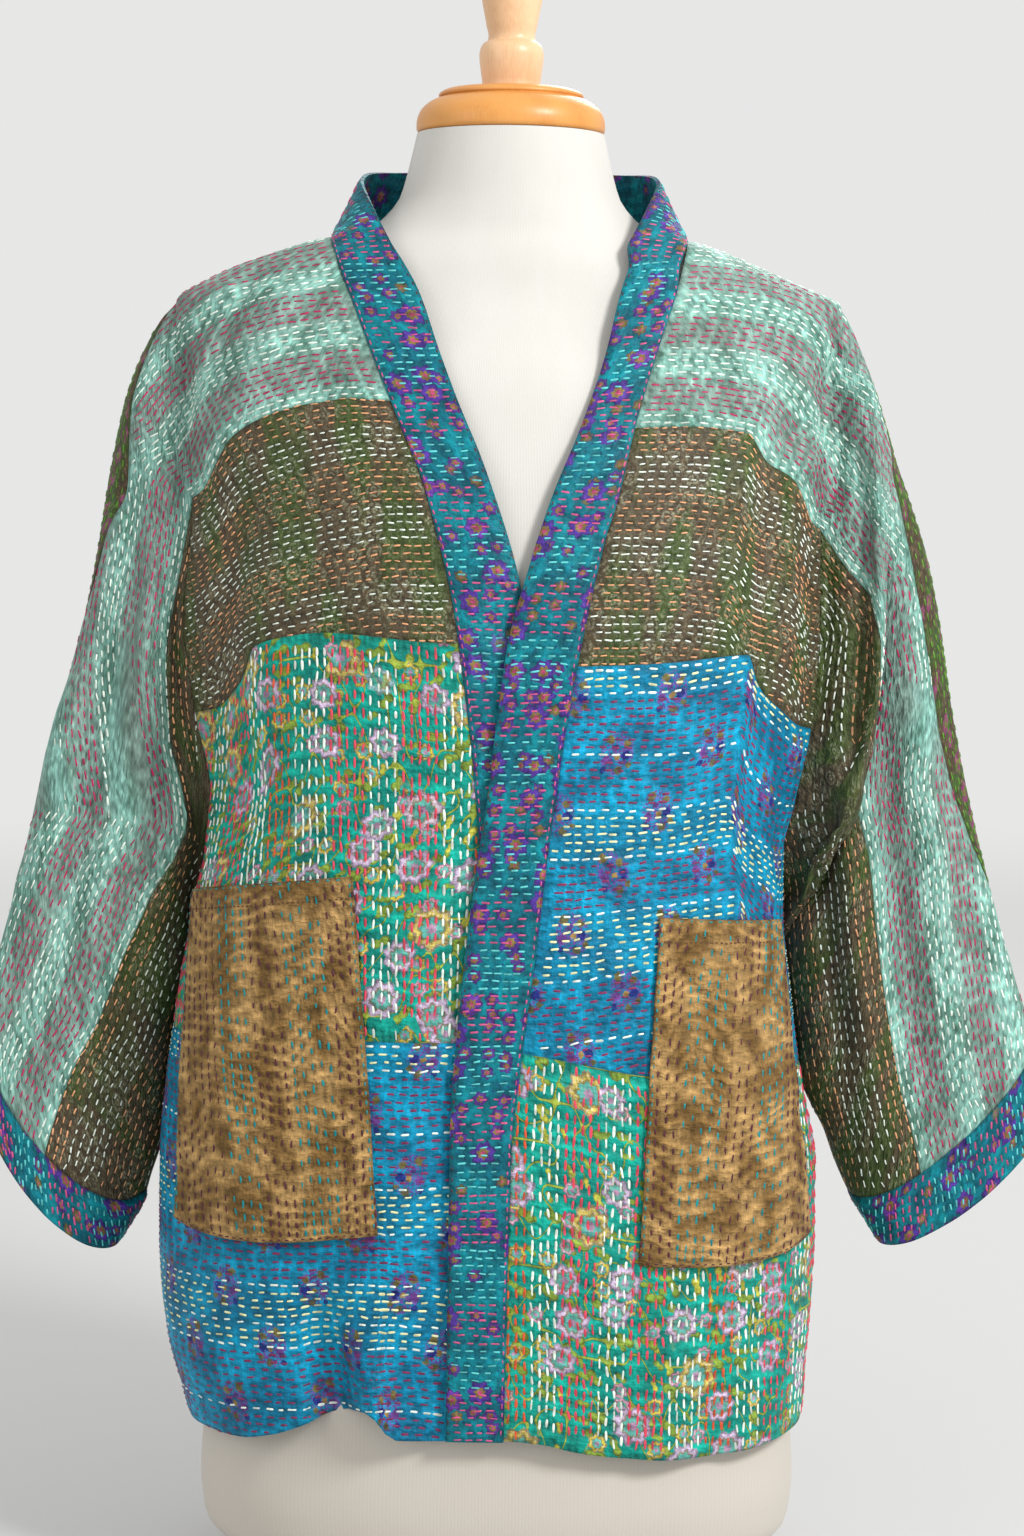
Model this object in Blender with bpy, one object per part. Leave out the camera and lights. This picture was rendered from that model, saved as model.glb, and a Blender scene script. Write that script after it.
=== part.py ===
"""A patchwork kimono jacket on a limbless dress form.

The origin is under the base, on the form's upright axis. The front faces -Y and +Z is up.
"Left" and "right" are as seen from the front, so left is at -X.
Sizes are in millimetres here and become metres when a mesh is made.
"""

import math

import bmesh
import bpy
import numpy as np

MM = 0.001

# Cloth
WALL = 2.0
BAND_WALL = 2.8
CUFF_WALL = 2.6
SEAM_INSET = 0.2
EDGE_INSET = 0.35
CREASE_INSET = 0.5
UNDERARM_INSET = 1.3
LAP_SINK = 4.6
LAP_RAMP = 26.0

# Heights that the cut is set out from
TIP = 763.0
UNDERARM = 408.0
NECK_POINT = 801.0
BACK_NECK = 799.0
SHOULDER_STEPS = 400

FRONT, BACK = -1, 1
LEFT, RIGHT = -1, 1


def table(columns, *rows):
    """Named columns of a short table, one tuple for each row."""
    return {name: np.array(values, float) for name, values in zip(columns.split(), zip(*rows))}


# Half widths and depths of the cloth round the body, with the squareness of each section
BODY = table(
    "height left right front back square",
    (60, 178, 176, 131, 122, 2.6),
    (100, 187, 184, 132, 123, 2.6),
    (150, 200, 187, 133, 125, 2.5),
    (200, 205, 190, 134, 126, 2.4),
    (250, 205, 190, 133.5, 125, 2.4),
    (300, 201, 181, 132.5, 121, 2.4),
    (350, 194, 174, 131.5, 118, 2.3),
    (408, 184, 168, 130, 115, 2.3),
    (440, 178, 168, 129, 114, 2.3),
    (470, 177, 176, 128, 114, 2.25),
    (520, 188, 187, 127, 114, 2.2),
    (575, 195, 191, 125, 115, 2.2),
    (640, 191, 191, 116, 114, 2.1),
    (700, 195, 195, 99, 106, 2.05),
    (745, 199, 199, 84, 95, 2.0),
    (763, 197, 197, 76, 89, 2.0),
    (776, 177, 170, 71, 85, 2.0),
    (784, 160, 152, 68.5, 82, 2.0),
    (792, 137, 133, 66, 80, 2.0),
    (797, 122, 119, 64.5, 79, 2.0),
    (801, 105, 105, 63, 78, 2.0),
    (808, 88, 88, 61, 75, 2.0),
    (816, 74, 74, 59, 70, 2.0),
)

# How far round its section the body cloth reaches, in degrees from the middle
ARMHOLE = table(
    "height reach",
    (408, 90),
    (420, 88.1),
    (440, 84.3),
    (460, 79.9),
    (478, 76.8),
    (600, 75),
    (700, 75.5),
    (740, 79),
    (755, 84),
    (763, 90),
)

# Sections of each sleeve from armhole (0) to cuff seam (1) and cuff edge (1.1): the outer and
# the inner end of each, how far the front and back stand off the line between the ends,
# how far they sag along the sleeve, and how far the front is pushed outwards
SLEEVES = {
    LEFT: table(
        "share outer_x outer_y outer_z inner_x inner_y inner_z front back front_sag back_sag push",
        (0.00, 197, 0, 763, 184, 0, 408, 42, 42, 0, 0, 0),
        (0.02, 202, 1, 757, 189, 2, 406, 43, 44, 0, 0, 1),
        (0.06, 212, 3, 743, 191, 6, 398, 46, 48, 0, 0, 5),
        (0.14, 224, 6, 716, 193, 8, 389, 50, 52, 0, 0, 5),
        (0.25, 235, 8, 672, 197, 10, 372, 49, 54, 0, 0, 2),
        (0.40, 247, 10, 598, 203, 12, 345, 47, 54, 3, 2, 0),
        (0.55, 262, 10, 532, 208, 14, 318, 45, 52, 8, 3, 0),
        (0.70, 277, 8, 466, 211, 14, 290, 42, 48, 15, 4, 0),
        (0.85, 290, 5, 404, 212, 12, 258, 37, 42, 25, 5, 0),
        (1.00, 303, 0, 344, 216, 6, 224, 31, 34, 31, 6, 0),
        (1.10, 306, -2, 302, 232, 2, 194, 27, 30, 24, 6, 0),
    ),
    RIGHT: table(
        "share outer_x outer_y outer_z inner_x inner_y inner_z front back front_sag back_sag push",
        (0.00, 197, 0, 763, 168, 0, 408, 42, 42, 0, 0, 0),
        (0.02, 202, 1, 755, 173.5, 2, 406, 46, 44, 0, 0, 3),
        (0.05, 208, 2, 741, 175, 6, 399, 58, 46, 0, 0, 12),
        (0.10, 216, 4, 719, 177, 8, 391, 70, 50, 0, 0, 20),
        (0.15, 224, 6, 696, 178, 10, 383, 58, 52, 0, 0, 18),
        (0.20, 232, 8, 674, 179, 10, 376, 40, 54, 0, 0, 4),
        (0.28, 244, 9, 640, 182, 12, 363, 43, 54, 0, 0, 0),
        (0.40, 257, 10, 592, 186, 14, 343, 47, 54, 2, 2, 0),
        (0.55, 268, 10, 525, 189, 16, 318, 46, 52, 4, 3, 0),
        (0.70, 281, 8, 462, 193, 16, 287, 43, 48, 8, 4, 0),
        (0.85, 298, 5, 396, 202, 12, 256, 38, 42, 13, 5, 0),
        (1.00, 317, 0, 330, 213, 6, 230, 31, 34, 18, 6, 0),
        (1.10, 328, -2, 288, 231, 2, 203, 27, 30, 18, 6, 0),
    ),
}
SLEEVE_FULL = 0.62
SLEEVE_BLEND = 0.6

# Where the front meets the back along the sleeve's outer edge, and mint meets olive,
# as a share of the way round from the outer to the inner end
SLEEVE_SEAMS = {
    LEFT: table(
        "share top mint",
        (0.00, 0.00, 0.389),
        (0.06, 0.07, 0.60),
        (0.12, 0.13, 0.73),
        (0.22, 0.21, 0.72),
        (0.35, 0.10, 0.69),
        (0.50, 0.02, 0.67),
        (0.70, 0.00, 0.645),
        (0.85, 0.00, 0.60),
        (1.10, 0.00, 0.56),
    ),
    RIGHT: table(
        "share top mint",
        (0.00, 0.00, 0.416),
        (0.08, 0.06, 0.46),
        (0.20, 0.13, 0.54),
        (0.35, 0.20, 0.57),
        (0.50, 0.20, 0.57),
        (0.70, 0.14, 0.59),
        (0.85, 0.02, 0.62),
        (1.10, 0.00, 0.66),
    ),
}

# Seams between the front patches: height at each distance from the middle
MINT_SEAM = {
    LEFT: table(
        "x height",
        (40, 702), (66, 703), (91, 704), (113, 701), (142, 692), (160, 680), (176, 655), (187, 647),
    ),
    RIGHT: table(
        "x height",
        (40, 688), (72, 689), (109, 690), (138, 687), (150, 670), (167, 660), (178, 634), (187, 627),
    ),
}
CHEST_SEAM = {
    LEFT: table(
        "x height",
        (0, 566), (27, 566), (102, 571), (125, 568), (143, 562), (154, 540), (174, 523), (190, 518),
    ),
    RIGHT: table(
        "x height",
        (0, 553), (43, 554), (92, 556), (141, 560), (147, 543), (160, 528), (171, 518), (190, 512),
    ),
}
HIP_SEAM = {
    LEFT: table("x height", (-10, 338), (24, 339), (69, 339), (120, 336), (200, 330)),
    RIGHT: table("x height", (0, 335), (19, 333), (53, 326), (84, 320), (130, 316), (200, 312)),
}
HEM = {
    LEFT: table(
        "x height",
        (-45, 109), (30, 108), (56, 109), (64, 115), (72, 126),
        (96, 120), (115, 112), (130, 106), (160, 100), (190, 99),
    ),
    RIGHT: table(
        "x height",
        (-40, 109), (0, 110), (25, 108), (52, 102), (95, 97), (123, 95), (145, 96), (190, 100),
    ),
}
BACK_HEM = 103.0

# The neckband's seam edge and free edge down each front: distance out from the middle,
# which is negative where the edge crosses to the other side
BAND_SEAM = {
    LEFT: table(
        "height x",
        (90, -3), (230, -1), (340, 4), (440, 12), (512, 19), (552, 24), (586, 29), (620, 37),
        (659, 48), (687, 60), (723, 75), (758, 89), (783, 99), (796, 103.5), (801, 105),
    ),
    RIGHT: table(
        "height x",
        (90, 4), (276, 7), (328, 12), (386, 19), (449, 26), (517, 35), (554, 41), (624, 56),
        (647, 63), (689, 73), (731, 85), (758, 94), (783, 101), (796, 104), (801, 105),
    ),
}
BAND_FREE = {
    LEFT: table(
        "height x",
        (90, -43), (230, -41), (340, -36), (440, -28), (512, -21), (560, -15), (602, -8),
        (630, 0), (670, 14), (704, 28.5), (734, 40), (765, 51), (785, 62), (798, 71),
    ),
    RIGHT: table(
        "height x",
        (90, -29), (288, -28), (363, -23), (444, -14), (478, -9), (523, -4), (568, 2),
        (602, 11), (647, 25), (692, 43), (731, 56), (765, 64), (785, 70), (798, 75),
    ),
}
BAND_RISE = table("height rise", (90, 0), (540, 0), (640, 9), (700, 13), (758, 13))

# The band round the neck, from the chest to the middle of the back
COLLAR = table(
    "seam_x seam_y seam_z free_x free_y free_z",
    (99, -55, 783, 69, -57, 796),
    (103.5, -36, 796, 80, -36, 817),
    (105, 0, 801, 88, -6, 835),
    (96, 34, 800.5, 84, 26, 842),
    (74, 58.5, 799.5, 66, 55, 845),
    (38, 74, 799, 34, 70, 847),
    (0, 79, 799, 0, 75, 848),
)
COLLAR_GAP = 1.9
BACK_COLLAR_FROM = 2

# Large folds of the body cloth: the fold's line from top to foot, how far it stands out, its width
FOLDS = table(
    "side face top_x top_z foot_x foot_z out width",
    (LEFT, FRONT, 156, 650, 165, 560, -5, 13),
    (LEFT, FRONT, 102, 182, 88, 95, -13, 12),
    (LEFT, FRONT, 72, 180, 68, 95, 7, 10),
    (RIGHT, FRONT, 112, 165, 122, 95, -5, 16),
    (LEFT, BACK, 120, 690, 132, 130, 8, 18),
    (RIGHT, BACK, 128, 680, 120, 130, 8, 18),
    (LEFT, BACK, 60, 420, 72, 100, -6, 22),
    (RIGHT, BACK, 52, 440, 60, 100, -6, 22),
)
FOLD_FADE = 45.0

# Patch pockets: corners on the front panels, distance out and height
POCKETS = {
    LEFT: dict(
        outer_top=(181, 413), inner_top=(84, 433), inner_foot=(68, 229), outer_foot=(189, 224), dip=7.0
    ),
    RIGHT: dict(
        outer_top=(161, 402), inner_top=(89, 411), inner_foot=(80, 207), outer_foot=(181, 222), dip=8.0
    ),
}
POCKET_WALL = 2.2
POCKET_GAP = 0.9

# Repair patch on the back of the right sleeve, as shares along and round the sleeve
REPAIR = dict(start=0.30, end=0.42, low=1.60, high=1.93, wall=1.2, gap=0.5)

# The dress form under the cloth. Above its chest it follows the cloth at a small clearance.
FORM = table(
    "height half front back square",
    (22.3, 160, 104, 99, 2.4),
    (25, 169, 112, 107, 2.4),
    (32, 176, 118, 113, 2.4),
    (46, 179, 121, 116, 2.4),
    (100, 178, 121, 116, 2.4),
    (190, 178, 121, 118, 2.3),
    (250, 169, 116, 116, 2.25),
    (310, 144, 104, 104, 2.2),
    (350, 126, 96, 93, 2.2),
    (390, 118, 92, 87, 2.2),
    (440, 123, 98, 90, 2.2),
    (490, 137, 111, 96, 2.2),
    (540, 150, 119, 102, 2.2),
    (590, 157, 116, 106, 2.2),
    (640, 165, 108, 107, 2.1),
    (690, 174, 95, 103, 2.05),
    (725, 184, 84, 97, 2.0),
)
FORM_NECK = table(
    "height half front back",
    (806, 84, 57, 68),
    (815, 73, 56.5, 62),
    (824, 66, 56, 58),
    (836, 62, 56, 56.5),
    (850, 58.5, 56, 56),
    (863, 55.5, 55.5, 55.5),
)
FORM_CLEAR = 1.8
FORM_DEPTH_CLEAR = 4.5
SHOULDER_SQUARE = 1.85
FORM_SEGMENTS = 36

# Turned wood on the neck: radius at each height
CAP_PROFILE = (
    (54.8, 863.4), (56.0, 866.0), (55.7, 871.5), (53.4, 876.6),
    (49.0, 881.0), (43.0, 883.9), (42.6, 886.6), (20.0, 887.0),
)
FINIAL_PROFILE = (
    (15.4, 887.4), (16.8, 889.0), (17.6, 896.0), (18.7, 904.0), (19.0, 910.5), (17.6, 915.0), (14.4, 917.8),
    (14.1, 919.0), (15.3, 928.0), (17.0, 937.0), (18.7, 946.0), (20.2, 953.0), (21.4, 960.0), (21.0, 966.0),
    (18.4, 971.5), (13.0, 975.6), (6.0, 977.6),
)
TURNED_SEGMENTS = 24

BASE_HALF, BASE_DEPTH, BASE_HEIGHT, BASE_EDGE = 148.0, 98.0, 22.0, 5.0

MINT_COLOUR = (0.30, 0.48, 0.40)
OLIVE_COLOUR = (0.12, 0.13, 0.06)
FLORAL_COLOUR = (0.02, 0.36, 0.33)
BLUE_COLOUR = (0.01, 0.24, 0.44)
BACK_COLOUR = (0.13, 0.14, 0.05)
CAMEL_COLOUR = (0.40, 0.24, 0.09)
TEAL_COLOUR = (0.01, 0.20, 0.26)
PATCH_COLOUR = (0.01, 0.20, 0.10)
LINEN_COLOUR = (0.78, 0.74, 0.66)
MAPLE_COLOUR = (0.70, 0.42, 0.16)
PALE_WOOD_COLOUR = (0.80, 0.58, 0.36)


def smooth(xs, ys, at):
    """Monotone cubic through a table's points, held flat past its ends."""
    at = np.clip(np.asarray(at, float), xs[0], xs[-1])
    step = np.diff(xs)
    slope = np.diff(ys) / step
    both = slope[:-1] * slope[1:]
    total = slope[:-1] + slope[1:]
    inner = np.where(both > 0, 2 * both / np.where(total == 0, 1, total), 0)
    tangent = np.concatenate([slope[:1], inner, slope[-1:]])
    i = np.clip(np.searchsorted(xs, at, side="right") - 1, 0, len(xs) - 2)
    w = (at - xs[i]) / step[i]
    return (
        ys[i] * (2 * w**3 - 3 * w**2 + 1)
        + ys[i + 1] * (3 * w**2 - 2 * w**3)
        + step[i] * (tangent[i] * (w**3 - 2 * w**2 + w) + tangent[i + 1] * (w**3 - w**2))
    )


def ease(low, high, at):
    """0 below low, 1 above high, with a soft step between."""
    w = np.clip((np.asarray(at, float) - low) / (high - low), 0, 1)
    return w * w * (3 - 2 * w)


def section(side, face, z):
    """Half width, depth and squareness of the body cloth at height z."""
    half = smooth(BODY["height"], BODY["left" if side == LEFT else "right"], z)
    depth = smooth(BODY["height"], BODY["front" if face == FRONT else "back"], z)
    return half, depth, smooth(BODY["height"], BODY["square"], z)


def reach(z):
    return np.radians(smooth(ARMHOLE["height"], ARMHOLE["reach"], z))


def body_base(side, face, u, z):
    """The cloth without folds: u runs from 0 at the middle to 1 at the armhole or side seam."""
    u, z = np.broadcast_arrays(np.asarray(u, float), np.asarray(z, float))
    half, depth, square = section(side, face, z)
    column_half = section(side, face, np.minimum(z, TIP))[0]
    turn = np.sin(np.clip(u, -1, 1) * reach(z))
    out = column_half * np.sign(turn) * np.abs(turn) ** (2 / square)
    ratio = np.clip(np.abs(out) / half, 0, 1)
    y = face * depth * (1 - ratio**square) ** (1 / square)
    return np.stack([side * out, y, z], -1)


def column_at(side, x, z):
    """The u of the point that lies x out from the middle at height z."""
    half, _, square = section(side, FRONT, np.minimum(z, TIP))
    ratio = np.clip(np.abs(x) / half, 0, 1)
    return np.sign(x) * np.arcsin(ratio ** (square / 2)) / reach(z)


def unit(v):
    return v / np.maximum(np.linalg.norm(v, axis=-1, keepdims=True), 1e-9)


def normal_of(surface, a, b, sign, step_a, step_b):
    """Outward normal of surface(a, b), by differences."""
    along = surface(a + step_a, b) - surface(a - step_a, b)
    across = surface(a, b + step_b) - surface(a, b - step_b)
    return sign * unit(np.cross(along, across))


def fold_depth(side, face, points):
    """How far the large folds push the cloth out at these points."""
    x, z = np.abs(points[..., 0]), points[..., 2]
    shift = np.zeros_like(x)
    for i in range(len(FOLDS["side"])):
        if FOLDS["side"][i] != side or FOLDS["face"][i] != face:
            continue
        top, foot = FOLDS["top_z"][i], FOLDS["foot_z"][i]
        share = np.clip((top - z) / (top - foot), 0, 1)
        line = FOLDS["top_x"][i] + share * (FOLDS["foot_x"][i] - FOLDS["top_x"][i])
        run = ease(top + FOLD_FADE, top - FOLD_FADE, z) * ease(foot - 2 * FOLD_FADE, foot, z)
        shift += FOLDS["out"][i] * run * np.exp(-(((x - line) / FOLDS["width"][i]) ** 2))
    return shift


def lap_depth(side, face, points):
    """The left front passes under the right one, so it is set in near the middle."""
    if side != LEFT or face != FRONT:
        return np.zeros(points.shape[:-1])
    edge = -smooth(BAND_FREE[RIGHT]["height"], -BAND_FREE[RIGHT]["x"], points[..., 2])
    return -LAP_SINK * ease(edge - LAP_RAMP, edge - 4, points[..., 0])


def body_cloth(side, face, u, z):
    """The middle of the cloth's thickness, with its large folds."""
    base = body_base(side, face, u, z)
    shift = fold_depth(side, face, base) + lap_depth(side, face, base)
    outward = normal_of(lambda a, b: body_base(side, face, a, b), u, z, -side * face, 0.004, 1.0)
    return base + outward * shift[..., None]


def body_normal(side, face, u, z):
    surface = lambda a, b: body_cloth(side, face, a, b)
    return normal_of(surface, np.minimum(u, 0.996), np.asarray(z, float), -side * face, 0.004, 1.0)


def top_height(side, x):
    """Height of the shoulder line at distance x out, where the body cloth is just that wide."""
    heights = np.linspace(TIP, BODY["height"][-1], SHOULDER_STEPS)
    half = smooth(BODY["height"], BODY["left" if side == LEFT else "right"], heights)
    return np.interp(x, half[::-1], heights[::-1])


def round_share(t):
    return (1 - np.cos(np.pi * t)) / 2


def sleeve_oval(side, s, t):
    """A sleeve's section: t runs 0 outer, 1 inner by the front, and on to 2 by the back."""
    rows = SLEEVES[side]
    s, t = np.broadcast_arrays(np.asarray(s, float), np.asarray(t, float))
    at = {name: smooth(rows["share"], rows[name], s) for name in rows}
    outer = np.stack([at["outer_x"], at["outer_y"], at["outer_z"]], -1)
    inner = np.stack([at["inner_x"], at["inner_y"], at["inner_z"]], -1)
    chord = inner - outer
    front = np.mod(t, 2) < 1
    wave = np.abs(np.sin(np.pi * t))
    bulge = np.where(front, -at["front"], at["back"]) * wave**SLEEVE_FULL
    sag = np.where(front, at["front_sag"], at["back_sag"]) * wave
    down = unit(np.stack([-chord[..., 2], np.zeros_like(s), chord[..., 0]], -1))
    point = outer + chord * round_share(t)[..., None] + down * sag[..., None]
    point[..., 1] += bulge
    point[..., 0] += np.where(front, at["push"], 0) * wave**2
    return point * np.array([side, 1, 1])


def armhole_line(side, t):
    """The edge of the body cloth that the sleeve starts from."""
    z = TIP - (TIP - UNDERARM) * round_share(t)
    front = body_cloth(side, FRONT, np.ones_like(z), z)
    back = body_cloth(side, BACK, np.ones_like(z), z)
    return np.where((np.mod(t, 2) < 1)[..., None], front, back)


def sleeve_cloth(side, s, t):
    """The middle of the sleeve cloth's thickness."""
    s, t = np.broadcast_arrays(np.asarray(s, float), np.asarray(t, float))
    start = armhole_line(side, t) - sleeve_oval(side, np.zeros_like(s), t)
    return sleeve_oval(side, s, t) + start * (1 - ease(0, SLEEVE_BLEND, s))[..., None]


def sleeve_normal(side, s, t):
    surface = lambda a, b: sleeve_cloth(side, a, b)
    return normal_of(surface, np.maximum(s, 0.006), t, -side, 0.005, 0.008)


def sleeve_seam(side, name, s):
    rows = SLEEVE_SEAMS[side]
    return smooth(rows["share"], rows[name], s)


def seam_height(side, rows, u):
    """Height where the column u meets a seam given as height by distance out."""
    z = np.full(np.shape(u), rows["height"].mean())
    for _ in range(12):
        out = side * body_base(side, FRONT, u, z)[..., 0]
        z = 0.5 * z + 0.5 * smooth(rows["x"], rows["height"], out)
    return z


def band_column(side, z):
    """The u of the neckband's seam edge at height z."""
    return column_at(side, smooth(BAND_SEAM[side]["height"], BAND_SEAM[side]["x"], z), z)


def make_material(name, colour, roughness=0.85):
    material = bpy.data.materials.new(name)
    material.use_nodes = True
    shader = material.node_tree.nodes["Principled BSDF"]
    shader.inputs["Base Color"].default_value = (*colour, 1)
    shader.inputs["Roughness"].default_value = roughness
    shader.inputs["Metallic"].default_value = 0.0
    return material


def make_object(name, mesh_data, material):
    mesh = bpy.data.meshes.new(name)
    mesh_data.to_mesh(mesh)
    mesh_data.free()
    mesh.materials.append(material)
    mesh.shade_smooth()
    mesh.set_sharp_from_angle(angle=math.radians(50))
    part = bpy.data.objects.new(name, mesh)
    bpy.context.scene.collection.objects.link(part)
    return part


def slab(name, points, normals, wall, material, closed=False):
    """A wall of even thickness through a grid of points; closed joins its last row to its first."""
    rows, columns = points.shape[:2]
    bm = bmesh.new()
    skins = []
    for offset in (wall / 2, -wall / 2):
        skin = points + normals * offset
        skins.append([[bm.verts.new(skin[i, j] * MM) for j in range(columns)] for i in range(rows)])
    outside, inside = skins
    row_pairs = [(i, (i + 1) % rows) for i in range(rows if closed else rows - 1)]
    for i, k in row_pairs:
        for j in range(columns - 1):
            bm.faces.new((outside[i][j], outside[i][j + 1], outside[k][j + 1], outside[k][j]))
            bm.faces.new((inside[i][j], inside[k][j], inside[k][j + 1], inside[i][j + 1]))
        for j in (0, columns - 1):
            bm.faces.new((outside[i][j], outside[k][j], inside[k][j], inside[i][j]))
    if not closed:
        for i in (0, rows - 1):
            for j in range(columns - 1):
                bm.faces.new((outside[i][j], inside[i][j], inside[i][j + 1], outside[i][j + 1]))
    bmesh.ops.recalc_face_normals(bm, faces=bm.faces)
    return make_object(name, bm, material)


def inset(points, first_row=0.0, last_row=0.0, first_column=0.0, last_column=0.0):
    """Draws the edges of a grid of points in along the cloth, which leaves the gap at a seam."""
    points = points.copy()
    points[0] += unit(points[1] - points[0]) * first_row
    points[-1] += unit(points[-2] - points[-1]) * last_row
    points[:, 0] += unit(points[:, 1] - points[:, 0]) * first_column
    points[:, -1] += unit(points[:, -2] - points[:, -1]) * last_column
    return points


def body_shares(count):
    """Column shares from the middle out, closer together towards the side."""
    return 1 - (1 - np.linspace(0, 1, count + 1)) ** 1.35


def sleeve_shares(count):
    """Shares along the sleeve, closer together towards the armhole."""
    return np.linspace(0, 1, count + 1) ** 1.5


def crease_normal(side, face, z, t):
    """Normal on the line where body and sleeve meet, halfway between the two."""
    body = body_normal(side, face, np.full_like(z, 0.99), z)
    share = 1 - ease(0.8, 1, round_share(t))[..., None]
    return unit(body + share * sleeve_normal(side, np.full_like(z, 0.01), t))


def level_ridge(normals):
    """On the shoulder line the front and back share one normal, which has no depth to it."""
    return unit(normals * np.array([1, 0, 1]))


def front_grid(side, top, foot, columns, spread):
    """Points and normals of a front panel between two seams; spread gives the rows' shares."""
    inner_z = 0.5 * (top(np.array(0.2)) + foot(np.array(0.2))) + np.zeros_like(spread)
    for _ in range(30):
        u = band_column(side, inner_z)
        inner_z = top(u) + spread * (foot(u) - top(u))
    start = band_column(side, inner_z)
    u = start[:, None] + body_shares(columns)[None, :] * (1 - start[:, None])
    z = top(u) + spread[:, None] * (foot(u) - top(u))
    points = body_cloth(side, FRONT, u, z)
    normals = body_normal(side, FRONT, u, z)
    edge_z = z[:, -1]
    t = np.arccos(np.clip(1 - 2 * (TIP - edge_z) / (TIP - UNDERARM), -1, 1)) / np.pi
    armhole = edge_z > UNDERARM
    normals[:, -1] = np.where(armhole[:, None], crease_normal(side, FRONT, edge_z, t), normals[:, -1])
    return points, normals


def shoulder_line(side):
    """Height of the front's top edge by column."""
    def height(u):
        return top_height(side, side * body_base(side, FRONT, u, np.full(np.shape(u), TIP + 1))[..., 0])
    return height


def seam_line(side, rows):
    return lambda u: seam_height(side, rows, u)


def mint_line(side):
    """The mint seam on the body, which meets the sleeve's at the armhole."""
    foot = seam_line(side, MINT_SEAM[side])
    meet = TIP - (TIP - UNDERARM) * round_share(sleeve_seam(side, "mint", 0.0))
    step = meet - foot(np.array(1.0))
    return lambda u: foot(u) + step * ease(0.8, 1, u)


def side_name(side):
    return "left" if side == LEFT else "right"


MINT_ROWS = 8
OLIVE_ROWS = 8
BODY_COLUMNS = 11
SLEEVE_COLUMNS = 14
BACK_SHARES = np.linspace(0, 1, 16) ** 1.25


def mint_front(side, material):
    """Yoke and sleeve front in one, from the neckband over the shoulder to the cuff."""
    t_end = sleeve_seam(side, "mint", 0.0)
    rows = np.linspace(0, 1, MINT_ROWS + 1)
    spread = round_share(rows * t_end) / round_share(t_end)
    body_points, body_normals = front_grid(side, shoulder_line(side), mint_line(side), BODY_COLUMNS, spread)
    body_normals[0] = level_ridge(body_normals[0])
    s = sleeve_shares(SLEEVE_COLUMNS)[1:]
    high, low = sleeve_seam(side, "top", s), sleeve_seam(side, "mint", s)
    t = high[None, :] + rows[:, None] * (low - high)[None, :]
    s = np.broadcast_to(s, t.shape)
    points = np.concatenate([body_points, sleeve_cloth(side, s, t)], 1)
    normals = np.concatenate([body_normals, sleeve_normal(side, s, t)], 1)
    points = inset(points, EDGE_INSET, EDGE_INSET, SEAM_INSET, SEAM_INSET)
    slab(f"front_{side_name(side)}_mint", points, normals, WALL, material)


def sleeve_under_front(side, material):
    """Olive panel from the mint seam to the underarm."""
    rows = np.linspace(0, 1, OLIVE_ROWS + 1)
    s = sleeve_shares(SLEEVE_COLUMNS)
    low = sleeve_seam(side, "mint", s)
    t = low[None, :] + rows[:, None] * (1 - low)[None, :]
    s = np.broadcast_to(s, t.shape)
    points, normals = sleeve_cloth(side, s, t), sleeve_normal(side, s, t)
    edge_z = TIP - (TIP - UNDERARM) * round_share(t[:, 0])
    normals[:, 0] = crease_normal(side, FRONT, edge_z, t[:, 0])
    points = inset(points, EDGE_INSET, EDGE_INSET, CREASE_INSET, SEAM_INSET)
    slab(f"sleeve_{side_name(side)}_olive", points, normals, WALL, material)


def front_panel(side, name, top, foot, rows, material, bottom_gap=SEAM_INSET):
    spread = np.linspace(0, 1, rows + 1)
    points, normals = front_grid(side, top, foot, BODY_COLUMNS, spread)
    points = inset(points, SEAM_INSET, bottom_gap, SEAM_INSET, CREASE_INSET)
    slab(f"front_{side_name(side)}_{name}", points, normals, WALL, material)


def back_column_grid(side, rows, columns, foot):
    """Half of the back's body cloth, from the middle out to the armhole or side seam."""
    hps = column_at(side, BODY["left"][BODY["height"] == NECK_POINT][0], TIP + 1)
    inner = (1 - (1 - np.linspace(0, 1, 5)) ** 2) * hps
    outer = hps + body_shares(columns)[1:] * (1 - hps)
    u = np.concatenate([inner, outer])
    top = np.minimum(shoulder_line(side)(u), BACK_NECK + (NECK_POINT - BACK_NECK) * (u / hps) ** 4)
    top = np.where(u >= hps, shoulder_line(side)(u), top)
    z = top[None, :] + round_share(rows)[:, None] * (foot - top)[None, :]
    u = np.broadcast_to(u, z.shape)
    points, normals = body_cloth(side, BACK, u, z), body_normal(side, BACK, u, z)
    t = 2 - rows
    normals[:, -1] = crease_normal(side, BACK, z[:, -1], t)
    normals[0] = np.where((u[0] >= hps)[:, None], level_ridge(normals[0]), normals[0])
    return points, normals


def both_halves(left, right):
    """One grid from the left half's and the right half's, which share their middle column."""
    return [np.concatenate([a[:, ::-1], b[:, 1:]], 1) for a, b in zip(left, right)]


def upper_back(material):
    """The upper back of the body, armhole to armhole."""
    left, right = (back_column_grid(side, BACK_SHARES, 8, UNDERARM) for side in (LEFT, RIGHT))
    points, normals = both_halves(left, right)
    points = inset(points, EDGE_INSET, EDGE_INSET, CREASE_INSET, CREASE_INSET)
    slab("back_upper", points, normals, WALL, material)


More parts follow.
